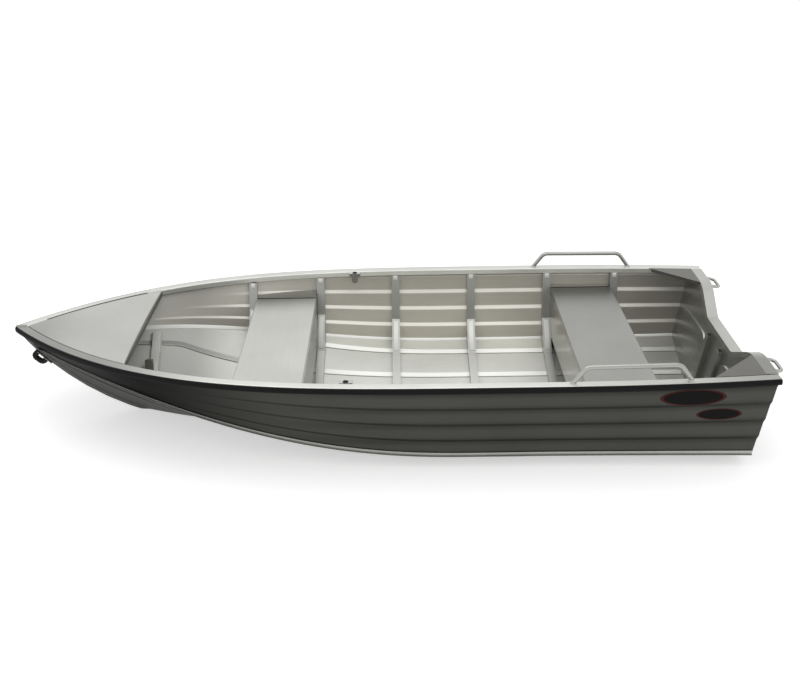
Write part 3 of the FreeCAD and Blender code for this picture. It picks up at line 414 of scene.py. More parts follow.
def soft_bends(share, press, scale, radius):
    """Bend lines of a pressed sheet, a row for each place, with every fold made an arc."""
    points = np.stack([share * scale, press], axis=-1)
    middle = points[:, 1:-1]
    before, after, room, turn = legs(points[:, :-2], middle, points[:, 2:])
    cut = np.minimum(radius * np.tan(turn / 2.0), BEND_ROOM * room)[..., None]
    first, last = middle + before * cut, middle + after * cut
    ring = [first * (1.0 - u) ** 2 + middle * 2.0 * u * (1.0 - u) + last * u * u for u in np.linspace(0.0, 1.0, 4)]
    grip = np.minimum(GRIP, GRIP_ROOM * room)[..., None]
    ring = [first + before * grip] + ring + [last + after * grip]
    inner = np.stack(ring, axis=2).reshape(len(points), -1, 2)
    full = np.concatenate([points[:, :1], inner, points[:, -1:]], axis=1)
    return full[..., 0] / scale, full[..., 1]


def sheet_rows(t, start, end, share, press, scale, trim_start, trim_end, radius):
    """Both faces of a pressed sheet: its bend line, drawn at midship size, shrinks with the
    width of the strip."""
    length = chords(start, end)
    growth = (length / scale)[:, None]
    swell = slant(t)[:, None]
    share, press = soft_bends(share, press, scale, radius)
    share = np.clip(share, (trim_start / length)[:, None], 1.0 - (trim_end / length)[:, None])
    outer = strip_rows(start, end, share, press * growth * swell)
    inner = strip_rows(start, end, share, (press * growth - SHEET) * swell)
    return np.concatenate([outer, inner[:, ::-1]], axis=1)


def side_rows(t):
    """Side sheet: each plank leans out, then steps back in. The steps die out at the bow."""
    sheer = sheer_line(t)
    share = np.tile(PLANK_FOLDS, (len(t), 1))
    press = np.zeros(share.shape)
    press[:, PLANK_FEET] = -PLANK_STEP * smooth((PLANK_ENDS_X - sheer[:, :1]) / PLANK_FADE)
    return sheet_rows(t, sheer, chine_line(t), share, press, SIDE_CHORD, SHEET, SHEET + CLEAR, PLANK_BEND)


def bottom_rows(t):
    """Bottom sheet with two strakes that run parallel to the keel until the chine closes in
    on them, where a hyperbola carries each over to a fixed share of the breadth."""
    chine = chine_line(t)
    none = 0.0 * t
    share, press = [none], [none]
    for half, least in zip(STRAKE_HALVES, STRAKE_LEAST):
        free = (chine[:, 1] - half) / (chine[:, 1] - KEEL_SLOT)
        middle = (free + least + np.hypot(free - least, STRAKE_FADE / 4.0)) / 2.0
        left = none + 1.0 if least > STRAKE_WIDTH else smooth((free - least) / STRAKE_FADE)
        near = middle - STRAKE_WIDTH / 2.0
        share += [near, near + STRAKE_WIDTH * STRAKE_CREST, near + STRAKE_WIDTH]
        press += [none, STRAKE_DEPTH * left, none]
    share, press = np.stack(share + [none + 1.0], 1), np.stack(press + [none], 1)
    return sheet_rows(t, chine, keel_line(t), share, press, BOTTOM_CHORD, 0.0, 0.0, STRAKE_BEND)


def rail_rows(profile, t):
    """Extrusion along the sheer. At the nose the outer corners swing round a small circle,
    and the inner ones run straight on to the centreline."""
    gap = CLEAR / 2.0
    normal = plan_normal(t)
    out, up = profile[None, :, 0, None], profile[None, :, 1, None]
    rows = sheer_line(t)[:, None] + normal[:, None] * out + UP * up
    last, facing = rows[-1], normal[-1]
    radius = NOSE_HALF / facing[1]
    centre_x = SHEER_END_X - facing[0] * radius
    share = np.linspace(0.0, 1.0, NOSE_TURNS + 1)[1:, None]
    angle = atan2(facing[1], facing[0]) * (1.0 - share)
    reach = np.maximum(profile[None, :, 0] + radius, 0.0)
    swung = line_points(centre_x + reach * np.cos(angle), np.maximum(reach * np.sin(angle), gap), last[None, :, 2])
    ahead = np.array([facing[1], -facing[0], 0.0])
    stop = last + ahead * ((last[:, 1:2] - gap) / facing[0])
    straight = last[None] + (stop - last)[None] * share[..., None]
    inside = (profile[None, :, 0] + radius <= 0.0)[..., None]
    return np.concatenate([rows, np.where(inside, straight, swung)])


def gunwale_profile():
    outer, w = CLEAR + GUNWALE_WALL, GUNWALE_WALL
    inner, top = outer - GUNWALE_WIDTH, GUNWALE_TOP_Z - SHEER_Z
    foot = top - GUNWALE_DEPTH
    corners = [(outer, foot), (outer, top), (inner, top), (inner, foot),
               (inner + w, foot), (inner + w, top - w), (outer - w, top - w), (outer - w, foot)]
    return soften(corners, [0.0012, 0.004, 0.006, 0.0012, 0.0012, 0.001, 0.001, 0.0012], 4, 0.001)


def fender_profile():
    near, w = CLEAR + GUNWALE_WALL + CLEAR, FENDER_WIDTH
    foot = GUNWALE_TOP_Z - SHEER_Z - GUNWALE_DEPTH
    half = [(near, 0.0), (near + w * 0.62, 0.0), (near + w * 0.93, 0.2), (near + w, 0.5),
            (near + w * 0.93, 0.8), (near + w * 0.62, 1.0), (near, 1.0)]
    corners = [(out, foot + FENDER_DEPTH * share) for out, share in half]
    return soften(corners, [0.0008, 0.004, 0.006, 0.012, 0.006, 0.004, 0.0008], 4, 0.0006)


def chine_frame(t):
    """The chine, its run, the ways up the side and in along the bottom, both sheets' outward
    directions, the way between these, and the bottom's breadth."""
    sheer, chine, keel = sheer_line(t), chine_line(t), keel_line(t)
    run = unit(run_along(chine_line, t, 0.003))
    up, inward = unit(sheer - chine), unit(keel - chine)
    side_out, low_out = unit(np.cross(up, run)), unit(np.cross(run, inward))
    return chine, run, up, inward, side_out, low_out, unit(side_out + low_out), chords(chine, keel)[:, None]


def chine_rows(t):
    """Angle extrusion wrapped round the chine, with a small lip at its corner."""
    chine, run, up, inward, side_out, low_out, spread, breadth = chine_frame(t)
    up, inward = (unit(way - run * (way * run).sum(1, keepdims=True)) for way in (up, inward))
    growth = np.maximum(0.5, breadth / BOTTOM_CHORD)
    wall = CHINE_STRIP_WALL
    cosine = np.clip((side_out * low_out).sum(1, keepdims=True), -1.0, 1.0)
    half = np.sqrt((1.0 + cosine) / 2.0)
    corner = chine + spread * (EASY_CLEAR / half)
    near = corner + up * CHINE_STRIP_UP * growth
    under = corner + inward * CHINE_STRIP_IN * growth
    outer = corner + spread * (wall / half)
    lip = outer + side_out * CHINE_LIP * growth
    points = [corner, near, near + side_out * wall, corner + side_out * wall + up * wall, lip + up * wall,
              lip, outer, under + low_out * wall, under]
    return np.stack(points, axis=1)


def inside_line(t, gap):
    return sheer_line(t) - plan_normal(t) * (GUNWALE_INNER + gap)


def inside_half(x, gap):
    """Half breadth between the gunwales' inner faces."""
    line = inside_line(np.linspace(0.0, 1.0, 600), gap)
    return np.interp(x, line[:, 0], line[:, 1])


def deck_rows():
    """Arched deck plate whose aft edge bends down into a lip."""
    line = inside_line(np.linspace(0.0, 1.0, 2000), EASY_CLEAR)
    tip_x = float(np.interp(-0.003, -line[:, 1], line[:, 0]))
    bend = soften([(DECK_AFT_X, -DECK_LIP), (DECK_AFT_X, 0.0), (tip_x, 0.0)], DECK_BEND, 5, closed=False)
    run = np.linspace(bend[-2, 0], tip_x, 50)[1:]
    x = np.concatenate([bend[:-1, 0], run])
    drop = np.concatenate([bend[:-1, 1], 0.0 * run])[:, None]
    half = inside_half(x, EASY_CLEAR)[:, None]
    rise = DECK_CAMBER * half / inside_half(DECK_AFT_X, EASY_CLEAR)
    across = np.linspace(-1.0, 1.0, 41)
    lift = rise * (1.0 - across ** 2) * (1.0 + drop / DECK_LIP)
    return line_points(x[:, None], half * across, GUNWALE_TOP_Z + drop + lift)


def circle_rows(centres, runs, side, radius, sides):
    """A ring of points square to the run at each centre."""
    side = unit(np.broadcast_to(side, runs.shape))
    aside = np.cross(side, unit(runs))
    angle = np.linspace(0.0, 2.0 * pi, sides, endpoint=False)[None, :, None]
    radius = np.broadcast_to(radius, (len(centres),))[:, None, None]
    return centres[:, None] + (side[:, None] * np.cos(angle) + aside[:, None] * np.sin(angle)) * radius


def bar(name, points, bend, diameter, material):
    """Round bar through points, with a circular elbow at each inner one."""
    points = np.asarray(points, float)
    path = soften(points, bend, 10, 0.002, closed=False)
    side = np.cross(points[1] - points[0], points[2] - points[1])
    rows = circle_rows(path, np.gradient(path, axis=0), side, diameter / 2.0, 24)
    return skin(name, rows, material)


def turned(name, centre, axis, profile, material, sides=32):
    """Round piece: rings of the profile's radii stacked along an axis at its heights."""
    axis = unit(np.asarray(axis, float))
    side = np.cross(axis, axis[[1, 2, 0]] + 0.1)
    heights = np.asarray(centre, float) + axis * profile[:, 1:2]
    rows = circle_rows(heights, np.broadcast_to(axis, heights.shape), side, profile[:, 0], sides)
    return skin(name, rows, material)


def plank_between(name, a, b, broad, size, material, soft=0.0015):
    """Flat bar from a to b: a rounded rectangle, broad in one direction, carried along."""
    a, b, broad = (np.asarray(v, float) for v in (a, b, broad))
    run = unit(b - a)
    width, thick = size
    w, h = width / 2.0, thick / 2.0
    outline = soften([(w, h), (-w, h), (-w, -h), (w, -h)], min(soft, 0.45 * thick), 3, 0.0004)
    section = outline[:, :1] * broad + outline[:, 1:] * unit(np.cross(run, broad))
    tip = run * min(0.002, 0.2 * thick)
    ends = [(a, 0.8), (a + tip, 1.0), (b - tip, 1.0), (b, 0.8)]
    return skin(name, np.array([middle + section * share for middle, share in ends]), material)


def both(make, name, *points, **options):
    """Makes a piece to port and its mirror image to starboard."""
    for side, turn in SIDES:
        make(name % side, *[np.asarray(point) * turn for point in points], **options)


def make_camera():
    data = bpy.data.cameras.new("camera")
    data.lens = LENS
    data.clip_end = 4.0 * FLOOR_REACH
    camera = bpy.data.objects.new("camera", data)
    camera.matrix_world = Matrix.Translation(CAMERA_PLACE)
    for angle, axis in CAMERA_TURNS:
        camera.matrix_world @= Matrix.Rotation(radians(angle), 4, axis)
    scene.collection.objects.link(camera)
    scene.camera = camera


def make_rails():
    """Tube rails with a foot plate and a weld ring at each end."""
    x_a, x_b = RIBS_X[-1] - RAIL_PAST_RIBS, RIBS_X[-2] + RAIL_PAST_RIBS
    y_a, y_b = sheer_half(np.array([x_a, x_b])) - (GUNWALE_WIDTH / 2.0 - CLEAR - GUNWALE_WALL)
    z = GUNWALE_TOP_Z + CLEAR
    run = np.array([RAIL_SPREAD, RAIL_SPREAD * (y_b - y_a) / (x_b - x_a), 0.0])
    low_a, low_b = np.array([x_a, y_a, z]), np.array([x_b, y_b, z])
    foot_up, lift = UP * RAIL_LIFT, UP * RAIL_HEIGHT
    points = np.array([low_a + foot_up, low_a + run + lift, low_b - run + lift, low_b + foot_up])
    for side, turn in SIDES:
        name = "grab_rail_" + side
        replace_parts(bar(name + "_tube", points * turn, RAIL_BEND, RAIL_TUBE, FINISH["grab_rail"]), name)
        for end, foot, lean in (("_aft", low_a, run), ("_fore", low_b, -run)):
            turned(name + end + "_foot", foot * turn, UP, RAIL_FOOT, FINISH["gunwale"])
            turned(name + end + "_weld", (foot + lean * RAIL_LEAN) * turn, UP, RAIL_WELD, WELD)


def make_handles():
    """Lifting handles outside the transom, each on two round pads."""
    out = np.array([-cos(RAKE), 0.0, -sin(RAKE)])
    inset = TRANSOM_INSET - 2.0 * CLEAR - HANDLE_PAD_THICK
    a, b = (on_transom(HANDLE_Y + way * HANDLE_SPAN / 2.0, HANDLE_Z, inset) for way in (-1.0, 1.0))
    points = np.array([a, a + out * HANDLE_REACH, b + out * HANDLE_REACH, b])
    for side, turn in SIDES:
        name = "transom_handle_" + side
        loop = bar(name + "_bar", points * turn, HANDLE_BEND, HANDLE_TUBE, FINISH["transom_handle"])
        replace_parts(loop, name)
        for number, foot in ((1, a), (2, b)):
            turned("%s_pad_%d" % (name, number), foot * turn, out, HANDLE_PAD, FINISH["transom_cap"])
            turned("%s_weld_%d" % (name, number), foot * turn, out, HANDLE_WELD, WELD)


def make_eye():
    """Towing eye: a thick black bow on a plate against the stem band."""
    a, b = (EYE_BASE + EYE_RUN * foot for foot in EYE_FEET)
    points = [a, a + EYE_OUT * EYE_REACH[0], b + EYE_OUT * EYE_REACH[1], b]
    eye = bar("bow_eye_bow", points, EYE_BEND, EYE_THICK, FINISH["bow_eye"])
    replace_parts(eye, "bow_eye")
    out = EYE_OUT * EYE_PLATE_OUT
    low, high = EYE_BASE - EYE_RUN * EYE_PLATE + out, EYE_BASE + EYE_RUN * EYE_PLATE + out
    plank_between("bow_eye_plate", low, high, ALONG_Y, EYE_PLATE_SIZE, FINISH["rowlock_socket"])
    for name, end in (("low", low), ("high", high)):
        middle = EYE_BASE + (end - EYE_BASE) * EYE_BOLT_SHARE + out
        turned("bow_eye_bolt_" + name, middle, EYE_OUT, EYE_BOLT, FINISH["bow_eye"], 6)


def make_seats():
    """Seat tops folded from one sheet, with a round nosing along each long edge."""
    for place_name in ("forward", "aft"):
        node = "seat_top_" + place_name
        low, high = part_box(node)
        x_a, x_b, foot, z = low[0], high[0], low[2], high[2]
        s, e, r = SHEET, SEAT_EDGE, SEAT_BEND
        corners = [(x_a, foot), (x_a, z), (x_b, z), (x_b, foot),
                   (x_b - s, foot), (x_b - s, z - s), (x_a + s, z - s), (x_a + s, foot)]
        line = soften(corners, [e, r, r, e, e, r - s, r - s, e], 5, 0.002)
        across = np.linspace(low[1], high[1], 40)[:, None]
        rows = line_points(line[None, :, 0], across, line[None, :, 1])
        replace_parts(skin(node + "_sheet", rows, FINISH[node]), node)


def make_seat_ends():
    """Flange from each seat's ends to the side of the hull."""
    for place_name in ("forward", "aft"):
        low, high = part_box("seat_top_" + place_name)
        x = np.linspace(low[0] + SEAT_END_INSET, high[0] - SEAT_END_INSET, 12)
        z = high[2] - SHEET - CLEAR
        side = side_surface(x, z + 0.0 * x, -SEAT_END_GAP)[:, 1]
        near = high[1] - SEAT_LAP
        corners = ((near, z), (side, z), (side, z - SHEET), (near, z - SHEET))
        rows = np.stack([line_points(x, y, height) for y, height in corners], axis=1)
        skin_pair("seat_end_" + place_name, rows, FINISH["seat_box_" + place_name])


def make_seat_shade_lines():
    """Painted shade: a dark line along each end of a seat."""
    for place_name in ("forward", "aft"):
        low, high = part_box("seat_top_" + place_name)
        for way, y in (("starboard", low[1] + SHADE_LINE_SHIFT), ("port", high[1] - SHADE_LINE_SHIFT)):
            a, b = (low[0] + SHADE_LINE_INSET, y, high[2]), (high[0] - SHADE_LINE_INSET, y, high[2])
            plank_between("seat_seam_%s_%s" % (place_name, way), a, b, ALONG_Y, SHADE_LINE_SIZE, FINISH["bow_eye"])


def meet(a, b, c, d):
    """Where the lines a-b and c-d cross, in the plane across the boat."""
    r, s = b - a, d - c
    share = ((c[0] - a[0]) * s[1] - (c[1] - a[1]) * s[0]) / (r[0] * s[1] - r[1] * s[0])
    return a + r * share


def moved(a, b, inset):
    """The line a-b moved inwards, in the plane across the boat."""
    run = unit(b - a)
    shift = np.array([run[1], -run[0]]) * inset
    return a + shift, b + shift


def rib_face(x):
    """Inner face of a frame: its top under the gunwale, and the two ends of its knee."""
    picks = []
    for place_x in (x - RIB_HALF_WIDTH, x + RIB_HALF_WIDTH):
        sheer = np.array([sheer_half(place_x), SHEER_Z])
        chine = np.array([chine_half(place_x), chine_z(place_x)])
        keel = np.array([0.0, keel_z(place_x)])
        top, low = moved(sheer, chine, SIDE_GAP)
        out, mid = moved(chine, keel, FLOOR_GAP)
        centre = meet(out, mid, np.zeros(2), np.array([0.0, 1.0]))
        picks.append([top, meet(top, low, out, mid), centre])
    near = [np.array([min(p[0], q[0]), max(p[1], q[1])]) for p, q in zip(*picks)]
    side_a, side_b = moved(near[0], near[1], RIB_HEIGHT)
    floor_a, floor_b = moved(near[1], near[2], RIB_HEIGHT)
    bend = meet(side_a, side_b, floor_a, floor_b)
    head_z = GUNWALE_TOP_Z - GUNWALE_DEPTH - CLEAR
    head = side_a + (side_b - side_a) * ((head_z - side_a[1]) / (side_b[1] - side_a[1]))
    high = bend + unit(side_a - bend) * RIB_KNEE_UP
    low = bend + unit(floor_b - bend) * RIB_KNEE_IN
    return [np.array([x, p[0], p[1]]) for p in (head, high, low)]


def make_rib_details():
    """Gusset over each frame's knee, whose bright tone is painted light on the knee's up-facing slope, and a small
    bright tab at its head.
    """
    for number, x in enumerate(RIBS_X, 1):
        head, high, low = rib_face(x)
        run = unit(low - high)
        inward = np.cross(ALONG_X, run)
        lift = inward * np.sign(-inward[1]) * GUSSET_LIFT
        ends = high + run * GUSSET_ENDS[0] + lift, low - run * GUSSET_ENDS[1] + lift
        name = "frame_%d_" % number
        both(plank_between, name + "gusset_%s", *ends, ALONG_X, size=GUSSET_SIZE, material=BRIGHT)
        down = unit(high - head)
        foot = head + unit(TAB_RISE) * TAB_LIFT
        ends = foot - down * TAB_ENDS[0], foot + down * TAB_ENDS[1]
        both(plank_between, name + "head_tab_%s", *ends, ALONG_X, size=TAB_SIZE, material=BRIGHT, soft=0.0014)


def make_seam_beads():
    """Bead of weld inside each chine: a small cove between the side and the bottom."""
    chine, _, up, inward, side_out, low_out, spread, breadth = chine_frame(lengthwise()[:-STEM_ROWS])
    width = np.minimum(BEAD_WIDTH, BEAD_SHARE * breadth)
    corner = chine - spread * SHEET * 0.4
    high, low = chine + up * width, chine + inward * width
    points = [corner, high - side_out * SHEET, high - side_out * BEAD_RISE, (high + low) / 2.0 - spread * BEAD_RISE,
              low - low_out * BEAD_RISE * 0.8, low - low_out * SHEET]
    skin_pair("chine_bead", np.stack(points, 1), COVE)


def make_deck_post():
    """Short upright on the bow floor frame, just under the foredeck's aft edge."""
    plank_between("deck_post", POST_FOOT, POST_HEAD, ALONG_X, POST_SIZE, FINISH["transom_stiffener"], soft=0.004)


def make_socket_bushes():
    """Black bush round each rowlock bore, and a dark disc in it that is painted shade."""
    for name, profile in (("rowlock_bush_%s", SOCKET_BUSH), ("rowlock_bore_dark_%s", SOCKET_SHADE_DISC)):
        both(turned, name, SOCKET, axis=UP, profile=profile, material=FINISH["bow_eye"])


def side_surface(x, z, lift):
    """Points on the port side's outer face, moved out by a lift: the section through each
    is found by a few steps of correction."""
    t = x / SHEER_END_X
    for _ in range(12):
        start, end = sheer_line(t), chine_line(t)
        share = (SHEER_Z - z) / (start[:, 2] - end[:, 2])
        found = start[:, 0] + (end[:, 0] - start[:, 0]) * share
        t = np.clip(t + (x - found) / SHEER_END_X, 0.0, 1.0)
    start, end = sheer_line(t), chine_line(t)
    folds = np.zeros(len(PLANK_FOLDS))
    folds[PLANK_FEET] = -PLANK_STEP
    press = np.interp(share, PLANK_FOLDS, folds)
    return start + (end - start) * share[:, None] + across_normal(start, end) * (press + lift)[:, None]


def make_stickers():
    """Two blank oval stickers on the port side: rings of an ellipse laid on the planking."""
    size = np.linspace(0.02, 1.0, 14)
    turn = np.linspace(0.0, 2.0 * pi, 72, endpoint=False)
    size, turn = np.meshgrid(size, turn, indexing="ij")
    across, up = size * np.cos(turn), size * np.sin(turn)
    for name, x_a, x_b, z_a, z_b in STICKERS:
        x = (x_a + x_b) / 2.0 + (x_b - x_a) / 2.0 * across
        z = (z_a + z_b) / 2.0 + (z_b - z_a) / 2.0 * up
        top, under = (side_surface(x.ravel(), z.ravel(), lift).reshape(x.shape + (3,)) for lift in STICKER_FACES)
        label = skin("sticker_" + name, np.concatenate([top, under[::-1]]), STICKER)
        flat = np.stack([across, up], -1)
        flat = np.concatenate([flat, flat[::-1]])
        corner = np.empty(len(label.data.loops), np.int32)
        label.data.loops.foreach_get("vertex_index", corner)
        layer = label.data.uv_layers.new(name="oval")
        layer.data.foreach_set("uv", flat.reshape(-1, 2)[corner].ravel())


def make_transom_panels():
    """Pressed panels of the inner transom, each with a round shoulder and a flat."""
    radius = PANEL_HEIGHT / 2.0
    z_high = SHEER_Z - PANEL_TOP
    z_low = z_high - PANEL_HEIGHT
    corners = [(PANEL_INNER_Y, z_high), (PANEL_INNER_Y, z_low), (PANEL_OUTER_Y, z_low), (PANEL_OUTER_Y, z_high)]
    outline = soften(corners, [radius * 0.98, radius * 0.98, radius * 0.4, radius * 0.4], 16, 0.004)
    inward = unit(outline.mean(0) - outline)
    roll = np.linspace(0.0, pi / 2.0, 7)
    depths = np.append(0.0, PANEL_PRESS - PANEL_ROLL * (1.0 - np.sin(roll)))
    shrink = np.append(0.0, PANEL_ROLL * (1.0 - np.cos(roll))) - PANEL_FLARE
    ring = outline + inward * shrink[:, None, None]
    inset = (TRANSOM_INSET + TRANSOM_THICK + depths)[:, None] / cos(RAKE)
    rows = line_points(transom_x(ring[..., 1]) + inset, ring[..., 0], ring[..., 1])
    for side, turn in SIDES:
        skin("transom_panel_%s" % side, rows * turn, FINISH["transom_inner"])


def make_deck_shade_line():
    """Painted shade: a dark line where the deck meets the starboard gunwale."""
    line = inside_line(np.linspace(0.0, 1.0, 900), EASY_CLEAR / 2.0)
    line = line[(line[:, 0] > DECK_SHADE_LINE_X[0]) & (line[:, 0] < DECK_SHADE_LINE_X[1])][::4]
    run = unit(np.gradient(line, axis=0))
    broad = np.cross(UP, run)
    section = soften([(0.0038, 0.0011), (-0.0038, 0.0011), (-0.0038, -0.001), (0.0038, -0.001)], 0.0005, 2, 0.0001)
    base = line + UP * (GUNWALE_TOP_Z - SHEER_Z)
    rows = base[:, None] + broad[:, None] * section[None, :, :1] + UP * section[None, :, 1:]
    skin("deck_shade_line", rows * MIRROR, FINISH["bow_eye"])


def make_nose_plate():
    """Thin plate welded over the joint of the two gunwales at the nose."""
    a, b = ((x, 0.0, GUNWALE_TOP_Z + NOSE_PLATE_LIFT) for x in NOSE_PLATE_X)
    plank_between("nose_plate", a, b, ALONG_Y, NOSE_PLATE_SIZE, FINISH["gunwale_port"])


def make_drain():
    """Small black plug on the inner transom, port of the keel."""
    axis = np.array([cos(RAKE), 0.0, sin(RAKE)])
    foot = on_transom(DRAIN_Y, DRAIN_Z, TRANSOM_INSET + TRANSOM_THICK)
    turned("drain_plug", foot, axis, DRAIN_PLUG, FINISH["bow_eye"])


class Shader:
    """Short way to write a node tree."""

    def __init__(self, tree):
        self.tree = tree

    def fill(self, sockets, values):
        """Links each socket to an output, or sets it to a plain value."""
        for name, value in values.items():
            if isinstance(value, bpy.types.NodeSocket):
                self.tree.links.new(value, sockets[name])
            else:
                sockets[name].default_value = value

    def node(self, kind, inputs={}, **settings):
        made = self.tree.nodes.new("ShaderNode" + kind)
        for name, value in settings.items():
            setattr(made, name, value)
        self.fill(made.inputs, inputs)
        return made

    def math(self, operation, *values, clamp=False):
        return self.node("Math", dict(enumerate(values)), operation=operation, use_clamp=clamp).outputs[0]

    def vector_math(self, operation, inputs, output="Vector"):
        return self.node("VectorMath", inputs, operation=operation).outputs[output]

    def scaled(self, colour, shade):
        return self.vector_math("SCALE", {0: colour, 3: shade})

    def ramp(self, value, low, high):
        """Rises smoothly from 0 at low to 1 at high."""
        inputs = {"Value": value, "From Min": low, "From Max": high}
        return self.node("MapRange", inputs, clamp=True, interpolation_type="SMOOTHSTEP").outputs["Result"]

    def falloff(self, value, low, high, end):
        """1 up to low, then down to end at high."""
        return self.math("MULTIPLY_ADD", self.ramp(value, low, high), end - 1.0, 1.0)

    def mix(self, share, a, b):
        a, b = (colour + (1.0,) if isinstance(colour, tuple) else colour for colour in (a, b))
        return self.node("Mix", {0: share, 6: a, 7: b}, data_type="RGBA").outputs[2]

    def noise(self, vector, scale, detail, rough):
        inputs = {"Vector": vector, "Scale": scale, "Detail": detail, "Roughness": rough}
        return self.node("TexNoise", inputs).outputs["Fac"]

    def bump(self, height, strength, distance):
        return self.node("Bump", {"Height": height, "Strength": strength, "Distance": distance}).outputs[0]

    def position(self, kind="Object"):
        return self.node("TexCoord").outputs[kind]

    def split(self, kind="Object"):
        """The three parts of the surface's place, or of its normal."""
        return self.node("SeparateXYZ", {0: self.position(kind)}).outputs

    def group(self, tree, **values):
        return self.node("Group", values, node_tree=tree).outputs

    def surface(self, values):
        """The one shader of a material."""
        shader = self.node("BsdfPrincipled", values)
        self.node("OutputMaterial", {"Surface": shader.outputs[0]})


def open_group(name, inputs={}):
    tree = bpy.data.node_groups.new(name, "ShaderNodeTree")
    for label, value in inputs.items():
        kind = "NodeSocketVector" if isinstance(value, tuple) else "NodeSocketFloat"
        tree.interface.new_socket(label, in_out="INPUT", socket_type=kind).default_value = value
    return Shader(tree), tree.nodes.new("NodeGroupInput").outputs


def close_group(g, results):
    for label in results:
        g.tree.interface.new_socket(label, in_out="OUTPUT", socket_type="NodeSocketFloat")
    g.fill(g.tree.nodes.new("NodeGroupOutput").inputs, results)
    return g.tree


def facing_group():
    """Masks of how the surface faces: up, down, and away from the boat's middle. Up places painted highlights and down
    places painted shade.
    """
    g, _ = open_group("facing")
    normal = g.split("Normal")
    across = g.math("MULTIPLY", normal["Y"], g.math("SIGN", g.split()["Y"]))
    return close_group(g, {"Up": g.ramp(normal["Z"], 0.30, 0.55), "Down": g.ramp(normal["Z"], -0.30, -0.55),
                           "Outboard": g.math("GREATER_THAN", across, 0.0)})


def mill_grain_group():
    """Rolled sheet: fine streaks along the rolling direction, soft clouds and small dents."""
    g, given = open_group("mill_grain", {"Stretch": ALONG})
    here = g.position()
    streaks = g.noise(g.vector_math("MULTIPLY", {0: here, 1: given["Stretch"]}), 1.0, 3.0, 0.65)
    speckle = g.noise(here, 260.0, 2.0, 0.6)
    shade = g.math("MULTIPLY_ADD", streaks, 0.16, 0.72)
    shade = g.math("MULTIPLY_ADD", g.noise(here, 2.3, 3.0, 0.55), 0.30, shade)
    height = g.math("MULTIPLY_ADD", streaks, 0.6, g.math("MULTIPLY", speckle, 0.4))
    return close_group(g, {"Shade": g.math("MULTIPLY_ADD", speckle, 0.10, shade),
                           "Roughness": g.math("MULTIPLY_ADD", streaks, 0.14, -0.07), "Height": height})


def edge_wear_group():
    """Mask of bright rubbed edges, found from how far a rounded normal leaves the true one."""
    g, given = open_group("edge_wear", {"Amount": 1.0})
    rounded = g.node("Bevel", {"Radius": 0.003}, samples=4).outputs["Normal"]
    true_normal = g.node("NewGeometry").outputs["Normal"]
    likeness = g.vector_math("DOT_PRODUCT", {0: rounded, 1: true_normal}, "Value")
    edge = g.ramp(g.math("SUBTRACT", 1.0, likeness), 0.02, 0.22)
    patches = g.ramp(g.noise(g.position(), 14.0, 3.0, 0.6), 0.25, 0.65)
    return close_group(g, {"Mask": g.math("MULTIPLY", g.math("MULTIPLY", edge, patches), given["Amount"], clamp=True)})


def emptied(block):
    """Node tree of a material or world with nothing in it."""
    block.use_nodes = True
    block.node_tree.nodes.clear()
    return Shader(block.node_tree)


def open_material(name):
    """Empty material, and a writer for its node tree."""
    material = bpy.data.materials.new(name)
    return material, emptied(material)


def finish_metal(g, colour, rough, stretch, edge, edge_tone, metal, **more):
    """Grain, rubbed edges and gloss that every metal of the boat shares."""
    grain = g.group(GRAIN, Stretch=stretch)
    shaded = g.scaled(colour, grain["Shade"])
    if edge:
        wear = g.group(WEAR, Amount=edge)["Mask"]
        shaded = g.mix(wear, shaded, (edge_tone, edge_tone, edge_tone * 0.98))
    gloss = g.math("ADD", grain["Roughness"], rough, clamp=True)
    g.surface({"Base Color": shaded, "Roughness": gloss, "Metallic": metal,
               "Normal": g.bump(grain["Height"], 0.02, 0.001), **more})


def grey(value, warmth=0.0):
    """Bare metal's tone, a little short of blue, that may lean further to the warm side."""
    return (value * (0.99 + warmth), value, value * (0.94 - 1.1 * warmth))


def plank_bands(g, x, z, depth):
    """Shade under and along each pressed step, which fades out towards the bow."""
    part = g.math("FRACT", g.math("MULTIPLY_ADD", z, -1.0 / PLANK_PITCH, (SHEER_Z - FIRST_PLANK) / PLANK_PITCH))
    dark = g.math("MAXIMUM", g.ramp(part, 0.55, 0.84), g.ramp(part, 0.30, 0.0))
    amount = g.math("MULTIPLY_ADD", g.ramp(x, 1.7, 2.5), -depth, depth)
    return g.math("SUBTRACT", 1.0, g.math("MULTIPLY", dark, amount))


def sheet_material(name, inner, inner_up_highlight, outer, outer_down_shade, bow_inside_shade, bow_outside_shade, band_shade=0.0, low_inside_light=1.0):
    """Hull sheet: bright inside, with painted highlights where it faces up and painted light and shade along and
    across the boat; outside a dark tone that is a painted reflection, with painted shade where it faces down, under
    each step and towards the bow.
    """
    material, g = open_material(name)
    facing = g.group(FACING)
    x, y, z = g.split()
    # Painted light and shade inside, changing with height, across the boat, towards the bow and towards the transom.
    lift = g.math("MULTIPLY", g.falloff(z, 0.42, 0.10, low_inside_light), g.falloff(y, -0.1, 0.4, 0.85))
    lift = g.math("MULTIPLY", lift, g.falloff(x, 2.45, 2.90, bow_inside_shade))
    lift = g.math("MULTIPLY", lift, g.falloff(x, 0.60, 0.25, 0.72))
    inside = g.scaled(g.mix(facing["Up"], inner, inner_up_highlight), lift)
    # Painted shade outside, towards the bow and along each step.
    shade = g.math("MULTIPLY", g.falloff(x, 2.1, 3.1, bow_outside_shade), plank_bands(g, x, z, band_shade))
    outside = g.scaled(g.mix(facing["Down"], outer, outer_down_shade), shade)
    dull = {"Specular Tint": (0.45, 0.45, 0.45, 1.0), "Specular IOR Level": 0.1}
    finish_metal(g, g.mix(facing["Outboard"], inside, outside), 0.42, ALONG, 0.3, 0.55, 0.65, **dull)
    return material


